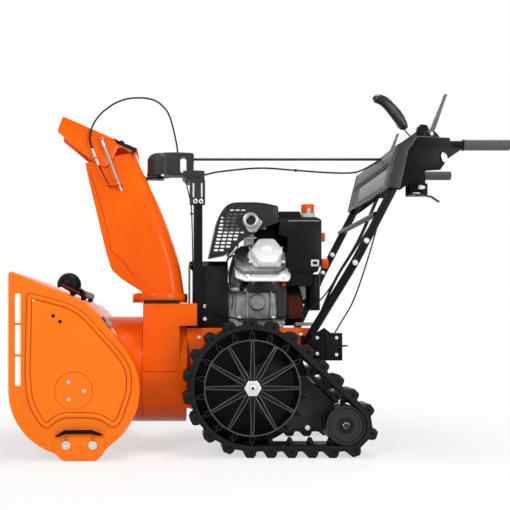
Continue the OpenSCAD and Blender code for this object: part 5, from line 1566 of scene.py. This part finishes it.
        # A grey bar along the box's lid is a painted highlight.
        lid = curved([(0.1015, -0.1885, 0.7762), (0.15, -0.1885, 0.7765), (0.205, -0.1885, 0.7762)])
        self.add("box_lid_highlight", [sweep(lid, 0.0016, 8)], "box_edge_highlight")
        knob = lathe([(0.0195, 0), (0.0195, 0.003), (0.016, 0.0045)], (0.2132, -0.13, 0.728), (1, 0, 0), 28)
        self.add("choke_rose", [knob], "black_shell")


@dataclass(frozen=True)
class TrackLoop:
    """Line along the middle of a track belt, round the drive wheel and the idler."""

    wheel: Flat = (-0.031, 0.225)
    idler: Flat = (0.271, 0.104)
    wheel_r: float = 0.192
    idler_r: float = 0.071

    def angles(self) -> tuple[float, float]:
        """Return the outward angles of the lower and the upper straight run."""
        dx, dz = self.idler[0] - self.wheel[0], self.idler[1] - self.wheel[1]
        lean = acos((self.wheel_r - self.idler_r) / hypot(dx, dz))
        heading = atan2(dz, dx)
        return heading - lean, heading + lean

    def runs(self) -> tuple[float, float, float]:
        """Return the lengths of the idler's arc, a straight run and the wheel's arc."""
        low, high = self.angles()
        gap = dist(self.idler, self.wheel)
        return (self.idler_r * (high - low), sqrt(gap ** 2 - (self.wheel_r - self.idler_r) ** 2),
                self.wheel_r * (2 * pi + low - high))

    def length(self) -> float:
        """Return the belt's length."""
        turn, straight, wrap = self.runs()
        return turn + 2 * straight + wrap

    def frame(self, s: float) -> tuple[Flat, float]:
        """Return the place and outward angle at a distance along the belt."""
        low, high = self.angles()
        turn, straight, wrap = self.runs()
        s %= self.length()

        def off(centre: Flat, radius: float, angle: float, ahead: float = 0.0) -> Flat:
            """Return a point off a wheel's rim, some way ahead along the rim's tangent."""
            return (centre[0] + radius * cos(angle) - ahead * sin(angle), centre[1] + radius * sin(angle)
                    + ahead * cos(angle))

        if s < turn:
            angle = low + s / self.idler_r
            return off(self.idler, self.idler_r, angle), angle
        s -= turn
        if s < straight:
            return off(self.idler, self.idler_r, high, s), high
        s -= straight
        if s < wrap:
            angle = high + s / self.wheel_r
            return off(self.wheel, self.wheel_r, angle), angle
        return off(self.wheel, self.wheel_r, low, s - wrap), low

    def placed(self, s: float, outline: Outline) -> list[Flat]:
        """Return an outline of (lift, along) set on the belt at a distance along it."""
        (x, z), angle = self.frame(s)
        c, n = cos(angle), sin(angle)
        return [(x + lift * c - along * n, z + lift * n + along * c) for lift, along in outline]

    def line(self, lift: Callable[[float], float], count: int = 276) -> list[Flat]:
        """Return the closed line at a lift that changes along the belt."""
        total = self.length()
        return [self.placed(total * k / count, [(lift(k / count), 0.0)])[0] for k in range(count)]


@dataclass
class Drive(Assembly):
    """Chassis with its transmission, belt drive, track frame, wheels and rubber tracks."""

    loop: TrackLoop = TrackLoop()
    track_out: float = -0.308
    track_in: float = -0.19
    lugs: int = 23
    first_lug: float = 0.35
    spokes: int = 12
    ring: float = 0.1535
    hub: float = 0.032
    chassis_face: float = -0.15
    finishes: ClassVar[NodeLooks] = {"chassis_frame": ("orange_coat", 0.0025),
        "transmission": ("cast_grey", 0.002), "belt_cover": ("cover_black", 0.005),
        "impeller_pulley": ("steel", 0.001), "drive_belt": ("strip_black", 0.0005),
        "left_axle": ("zinc", 0.0015), "right_axle": ("zinc", 0.0015),
        "left_drive_wheel": ("wheel_black", 0.0012), "right_drive_wheel": ("wheel_black", 0.0012),
        "track_frame": ("frame_grey", 0.0015), "left_idler_wheels": ("wheel_black", 0.002),
        "right_idler_wheels": ("wheel_black", 0.002), "rear_bracket": ("black_coat", 0.0015)}

    def build(self) -> None:
        """Add the tracks, wheel ribs, guards and bolts."""
        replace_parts(self.add("tread_belts", both(merged(self.tread())), "track_black", "track"),
                    "rubber_tracks")
        for side in Side:
            self.wheel_trim(side)
            self.idler_trim(side)
        self.guards()
        self.bolts()

    def tread(self) -> list[Mesh]:
        """Return the left track: belt, tread lugs, side cheeks and inner guide lugs."""
        near, far = self.track_out, self.track_in
        inner = self.loop.line(lambda t: -0.006)
        pitch = self.loop.length() / self.lugs

        def web(t: float) -> float:
            """Return the height of the web between the lugs at a share of the belt."""
            phase = (t * self.lugs - self.first_lug) % 1.0
            return 0.0165 - 0.0045 * (1 - cos(2 * pi * phase)) / 2

        meshes = [cut_plate([self.loop.line(lambda t: 0.006), inner], near, far, 0.0015),
                  cut_plate([self.loop.line(web), self.loop.line(lambda t: 0.003)], near + 0.006, far - 0.006,
            0.002)]
        lug = fillet([(0.0045, -0.0215), (0.02, -0.0195), (0.0265, -0.0165), (0.033, -0.011), (0.033, 0.011),
                      (0.0265, 0.0165), (0.02, 0.0195), (0.0045, 0.0215)], 0.0025, 2)
        cheek = fillet([(0.0045, -0.0235), (0.0215, -0.0125), (0.0285, -0.0065), (0.0285, 0.0065),
                        (0.0215, 0.0125), (0.0045, 0.0235)], 0.003, 2)
        notch = fillet([(0.008, -0.007), (0.019, -0.004), (0.019, 0.004), (0.008, 0.007)], 0.002, 2)
        guide = fillet([(-0.0035, -0.015), (-0.0035, 0.015), (-0.028, 0.004), (-0.028, -0.004)], 0.002, 2)
        for i in range(self.lugs):
            s = (i + self.first_lug) * pitch
            meshes.append(cut_plate([self.loop.placed(s, lug)], near + 0.005, far - 0.005, 0.002))
            for y in (near, far - 0.006):
                meshes.append(cut_plate([self.loop.placed(s, cheek), self.loop.placed(s, notch)], y,
                    y + 0.006, 0.001))
            meshes.append(cut_plate([self.loop.placed(s, guide)], near + 0.038, near + 0.062, 0.002))
        return meshes

    def wheel_trim(self, side: Side) -> None:
        """Build the raised ribs and ring of a drive wheel, whose paler grey paints their highlights, and its
        hub centre.
        """
        x, z = self.loop.wheel
        body = f"{side.word}_wheel"
        face = side.value * 0.3062

        def at(radius: float, angle: float, across: float, depth: float) -> Vector:
            """Return the point beside a spoke's middle line, with depth below the wheel's face."""
            c, n = cos(angle), sin(angle)
            return Vector((x + radius * c - across * n, face - side.value * depth,
                           z + radius * n + across * c))

        spots = ((self.hub - 0.002, 0.0052, 0.001), (0.046, 0.0066, 0.0), (0.07, 0.0062, 0.0),
                 (0.105, 0.005, 0.0), (0.135, 0.004, 0.0006), (self.ring - 0.001, 0.0036, 0.002))
        ribs: list[Mesh] = []
        for i in range(self.spokes):
            angle = 2 * pi * i / self.spokes
            for edge in (-1, 1):
                path = [at(radius, angle, edge * across, depth) for radius, across, depth in spots]
                ribs.append(sweep(curved(path, 3), 0.0017, 8))
        self.add(f"{body}_ribs", ribs, "rib_highlight", body)
        r = self.ring
        profile = [(r - 0.0022, 0), (r - 0.0016, 0.0026), (r + 0.0016, 0.0026), (r + 0.0022, 0),
                   (r - 0.0022, 0)]
        rim = lathe(profile, (x, face - side.value * 0.0016, z), side.out, 96)
        self.add(f"{body}_rim", [rim], "rib_highlight", body)
        low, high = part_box(f"{side.word}_axle")
        end = low[1] if side is Side.LEFT else high[1]
        place = (x, end - side.value * 0.0016, z)
        cap = lathe([(0.0075, 0), (0.0075, 0.0012), (0.0045, 0.0016)], place, side.out, 20)
        centre = lathe([(0.0035, 0.001), (0.0035, 0.0022)], place, side.out, 12)
        self.add(f"{body}_hub_centre", [cap, centre], "black_coat", body)

    def idler_trim(self, side: Side) -> None:
        """Build the stepped rings on an idler wheel and the clip on its pin."""
        x, z = self.loop.idler
        body = f"{side.word}_idler"
        face = side.value * 0.3
        rings = [lathe([(r - w, 0), (r - w * 0.6, h), (r + w * 0.6, h), (r + w, 0), (r - w, 0)], (x, face, z),
                       side.out, 64)
                 for r, w, h in ((0.0605, 0.0028, 0.0012), (0.046, 0.0016, -0.003), (0.0275, 0.0016, 0.0008))]
        disc = lathe([(0.056, -0.0085), (0.0555, -0.0055), (0.031, -0.0045), (0.029, -0.0045),
                      (0.029, -0.0085)], (x, face, z), side.out, 64)
        self.add(f"{body}_rings", [*rings, disc], "frame_grey", body)
        clip = ring((x, z), 0.0098, 24)
        horn = [lathe([(0.0022, 0), (0.0022, 0.002)], (x + 0.0098 * cos(a), face, z + 0.0098 * sin(a)),
                      side.out, 10) for a in map(radians, (112, 160))]
        near, far = sorted((face + side.value * 0.0004, face + side.value * 0.0018))
        plate = cut_plate([clip, inset(clip, 0.0038)], near, far, 0.0004)
        self.add(f"{body}_clip", [plate, *horn], "zinc", "track")

    def guards(self) -> None:
        """Build the black plates between the chassis and the wheels."""
        x, z = self.loop.wheel
        profile = [(0.04, 0), (0.198, 0), (0.2, 0.003), (0.2, 0.012), (0.198, 0.013), (0.196, 0.004),
                   (0.04, 0.004), (0.04, 0)]
        meshes = [lathe(profile, (x, side.value * 0.16, z), side.out, 72) for side in Side]
        self.add("wheel_guards", meshes, "cover_black")

    def bolts(self) -> None:
        """Build the bolts on the chassis, track frame and rear bracket."""
        face = self.chassis_face
        bolts = both(bolt((-0.213, face, 0.334), 0.0085, 0.0066, 0.007))
        for bx, bz in ((-0.196, 0.385), (0.15, 0.396)):
            bolts += both(bolt((bx, face, bz), 0.006, 0.0046, 0.005))
        for bx, bz in ((0.206, 0.384), (0.206, 0.33), (0.272, 0.384), (0.272, 0.326)):
            bolts += both(bolt((bx, -0.144, bz), 0.0062, 0.0048, 0.005))
        self.add("chassis_bolts", bolts, "zinc")
        self.add("track_frame_bolts", both(bolt((0.162, -0.2088, 0.086), 0.0088, 0.0066, 0.004)), "zinc",
                 "track")
        ribs: list[Mesh] = []
        for bz in (0.312, 0.35, 0.394):
            ribs += both(block((0.186, -0.1475, bz - 0.0022), (0.288, -0.1435, bz + 0.0022)))
        for bx in (0.19, 0.238, 0.284):
            ribs += both(block((bx - 0.0025, -0.1485, 0.308), (bx + 0.0025, -0.1435, 0.398)))
        self.add("bracket_ribs", ribs, "black_coat")


@dataclass
class Handlebars(Assembly):
    """Handlebar with the console, its levers and the cables that lead to it."""

    half: float = 0.293
    front: tuple[Flat, ...] = ((0.405, 0.87), (0.423, 0.947), (0.44, 1.012))
    grip_y: float = 0.275
    lever: Flat = (0.548, 1.045)
    release: Flat = (0.596, 0.915)
    finishes: ClassVar[NodeLooks] = {"handlebar_tubes": ("black_coat", 0.0),
        "console": ("console_black", 0.004), "console_panel": ("panel_grey", 0.003),
        "handle_grips": ("grip_grey", 0.003), "mode_release_box": ("black_shell", 0.003),
        "joystick_trigger": ("lever_grey", 0.0015), "left_clutch_lever": ("lever_grey", 0.0015),
        "right_clutch_lever": ("lever_grey", 0.0015), "speed_lever": ("black_shell", 0.002),
        "mode_release_lever": ("dark_steel", 0.0008)}

    def build(self) -> None:
        """Build the panel trim, brackets and cables."""
        self.panel()
        self.joystick()
        self.brackets()
        self.cables()

    def on_panel(self, y: float, z: float, lift: float) -> Vector:
        """Return the point of the front panel at a width and height.

        Args:
            y: Place across the machine.
            z: Height.
            lift: Distance in front of the panel.

        Returns:
            The point.
        """
        low, high = self.front[:2] if z < self.front[1][1] else self.front[1:]
        share = (z - low[1]) / (high[1] - low[1])
        x = low[0] + (high[0] - low[0]) * share
        ahead = Vector((-(high[1] - low[1]), high[0] - low[0])).normalized()
        return Vector((x + ahead.x * lift, y, z + ahead.y * lift))

    def panel_plate(self, outline: Outline, lift: float, thick: float) -> Mesh:
        """Return a thin plate that follows the front panel.

        Args:
            outline: Its outline as (y, z).
            lift: Distance of its back from the panel.
            thick: Its thickness.

        Returns:
            The plate's mesh.
        """
        mesh = cut_plate([outline], 0.0, thick, min(0.0006, thick * 0.4), Plane.YZ)
        for vertex in mesh.vertices:
            x, y, z = vertex.co
            vertex.co = self.on_panel(y, z, lift + thick - x)
        return mesh

    def panel(self) -> None:
        """Build the seams, the recessed label field and the edge of the front panel."""
        h = self.half
        field = fillet([(-0.238, 0.884), (0.12, 0.884), (0.15, 0.94), (-0.238, 0.94)], 0.008, 4)
        upper = oblong((-h + 0.03, 0.962), (h - 0.03, 0.998), 0.008, 4)
        self.add("panel_field", [self.panel_plate(field, 0.0002, 0.0012)], "panel_pale")
        self.add("panel_upper", [self.panel_plate(upper, 0.0002, 0.001)], "panel_grey")
        seams: list[Mesh] = []
        for y in (-h + 0.012, h - 0.012):
            path = [self.on_panel(y, z, 0.0) for z in (0.874, 0.9, 0.925, 0.9465, 0.97, 0.99, 1.008)]
            seams.append(sweep(path, 0.0018, 8))
        path = [self.on_panel(-h + 0.012 + (2 * h - 0.024) * k / 12, 0.952, 0.0) for k in range(13)]
        seams.append(sweep(path, 0.0018, 8))
        self.add("panel_seams", seams, "strip_black")

    def joystick(self) -> None:
        """Build the joystick's moulded grip with its inlay and stem, the console's painted lit facets and its
        painted edge highlights.
        """
        y = -0.08
        line = ((0.4143, 1.2095, 0.01), (0.425, 1.214, 0.0155), (0.4404, 1.212, 0.0175),
                (0.456, 1.202, 0.018), (0.4709, 1.187, 0.0185), (0.497, 1.1552, 0.0195),
                (0.5163, 1.124, 0.0165), (0.5206, 1.108, 0.012))
        path = curved([(px, y, pz) for px, pz, _ in line])
        radii = [p.z for p in curved([(k / 7, 0, radius) for k, (_, _, radius) in enumerate(line)])]
        radii[0] = radii[-1] = 0.006
        grip = sweep(path, radii, 24)
        stem = sweep(curved([(0.52, y, 1.112), (0.5255, y, 1.103), (0.537, y, 1.09), (0.57, y, 1.055),
            (0.596, y, 1.018)], 4), 0.0024, 10)
        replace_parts(self.add("joystick_grip", [grip, stem], "black_gloss", "chute_control"), "joystick")
        inlay = curved([(0.448, y - 0.012, 1.205), (0.47, y - 0.014, 1.183), (0.492, y - 0.0145, 1.156),
                        (0.509, y - 0.012, 1.13)])
        size = len(inlay)
        radii = [0.0088 - 0.004 * abs(2 * k / (size - 1) - 1) for k in range(size)]
        self.add("joystick_inlay", [sweep(inlay, radii)], "grip_grey", "chute_control")
        face = -self.half - 0.0016
        # A lighter grey strip along the console's front edge paints the lit facet there.
        facet = fillet([(0.4075, 0.873), (0.4245, 0.947), (0.44, 1.01), (0.4945, 1.046), (0.502, 1.034),
                        (0.471, 0.991), (0.444, 0.867)], 0.003)
        edges = both(cut_plate([facet], face, face + 0.003, 0.0006))
        self.add("console_lit_facets", edges, "frame_grey")
        # A thin grey bar along the console's front and top edges is a painted highlight.
        line = ((0.444, 0.868), (0.4575, 0.93), (0.471, 0.991), (0.4865, 1.0125), (0.502, 1.034),
                (0.553, 1.0325), (0.604, 1.03))
        highlight_line = curved([(px, face + 0.0008, pz) for px, pz in line], 3)
        self.add("console_edge_highlights", both(sweep(highlight_line, 0.0013, 8)), "lever_grey")

    def brackets(self) -> None:
        """Build the lever brackets and pins, and the release box's disc, strip and hanger."""
        x, z = self.lever
        y = self.grip_y
        saddle = fillet([(x - 0.024, z - 0.016), (x + 0.03, z - 0.016), (x + 0.02, z - 0.002),
            (x + 0.01, z + 0.008), (x - 0.008, z + 0.008), (x - 0.016, z - 0.002)], 0.004)
        meshes = both(cut_plate([saddle], -y - 0.0165, -y - 0.0132, 0.0008),
                      cut_plate([saddle], -y + 0.0132, -y + 0.0165, 0.0008))
        self.add("lever_brackets", meshes, "black_shell")
        self.add("lever_pins", both(bolt((x, -y - 0.0165, z), 0.0058, 0.0044, 0.004)), "zinc")
        rx, rz = self.release
        disc = lathe([(0.0125, 0), (0.0125, 0.0012), (0.0095, 0.003), (0.0035, 0.003), (0.003, 0.0044)],
                     (0, 0, 0), OUT, 28)
        squash = Matrix.Diagonal((1.15, 1, 0.62, 1))
        disc.transform(Matrix.Translation(Vector((rx, -0.03, rz))) @ squash)
        strip = cut_plate([oblong((0.566, 0.893), (0.592, 0.8975), 0.0015)], -0.0275, -0.0258, 0.0005)
        self.add("release_disc", [disc, strip], "steel")
        self.add("release_hanger", [block((0.56, -0.024, 0.925), (0.614, 0.024, 0.968), 0.002)],
                 "black_shell")

    def cables(self) -> None:
        """Build the control cables along the routes of their solids, and the ties that hold them."""
        head = [(-0.177, -0.1, 0.946), (-0.12, -0.1, 0.958), (0.015, -0.1, 0.97), (0.14, -0.1, 0.962),
                (0.258, -0.1, 0.954), (0.337, -0.1, 0.954), (0.376, -0.1, 0.966), (0.408, -0.1, 0.984),
                (0.428, -0.1, 0.992)]
        engine = [(-0.174, -0.1298, 0.494), (-0.15, -0.132, 0.474), (-0.09, -0.134, 0.453),
                  (-0.02, -0.138, 0.446), (0.075, -0.142, 0.45), (0.16, -0.15, 0.47), (0.221, -0.156, 0.519),
                  (0.275, -0.17, 0.6), (0.345, -0.2, 0.715), (0.408, -0.215, 0.82), (0.44, -0.215, 0.89)]
        rear = [[(0.232, 0.04 + k * 0.022, 0.402), (0.25, 0.01 + k * 0.022, 0.47),
                 (0.29, -0.06 + k * 0.026, 0.59), (0.362, -0.09 + k * 0.03, 0.72),
                 (0.432, -0.1 + k * 0.034, 0.88)] for k in range(2)]
        near = [(0.268, -0.138, 0.402), (0.29, -0.142, 0.44), (0.33, -0.15, 0.515), (0.376, -0.166, 0.66),
                (0.436, -0.176, 0.88)]
        post = [(-0.236, -0.128, 0.934), (-0.238, -0.142, 0.905), (-0.231, -0.144, 0.873),
                (-0.225, -0.144, 0.845), (-0.222, -0.144, 0.819), (-0.2195, -0.142, 0.74),
                (-0.218, -0.136, 0.68), (-0.217, -0.112, 0.646)]
        meshes = [sweep(curved(head, 8), 0.003, 12), sweep(curved(engine, 7), 0.0025, 12),
                  sweep(curved(near, 9), 0.0025, 12), sweep(curved(post), 0.0022, 10)]
        meshes += [sweep(curved(route, 9), 0.003, 12) for route in rear]
        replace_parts(self.add("control_cable_set", meshes, "jacket_black"), "control_cables")
        tied = (((0.345, -0.2, 0.715), (0.45, -0.2, 0.75)), ((0.16, -0.15, 0.47), (0.75, -0.07, 0.3)),
                ((0.14, -0.1, 0.962), (1, 0, -0.07)), ((-0.2217, -0.144, 0.806), (0.03, 0, 1)))
        profile = [(0.0044, -0.003), (0.0052, -0.002), (0.0052, 0.002), (0.0044, 0.003)]
        ties = [lathe(profile, place, way, 16) for place, way in tied]
        self.add("cable_ties", ties, "strip_black")


def main() -> None:
    """Build the studio and the sub-assemblies in order."""
    logging.basicConfig(level=logging.INFO, format="%(name)s: %(message)s")
    Studio().build()
    for assembly in (AugerHousing(), ChuteAssembly(), Engine(), Drive(), Handlebars()):
        assembly.dress_nodes()
        assembly.build()


if __name__ == "__main__":
    main()
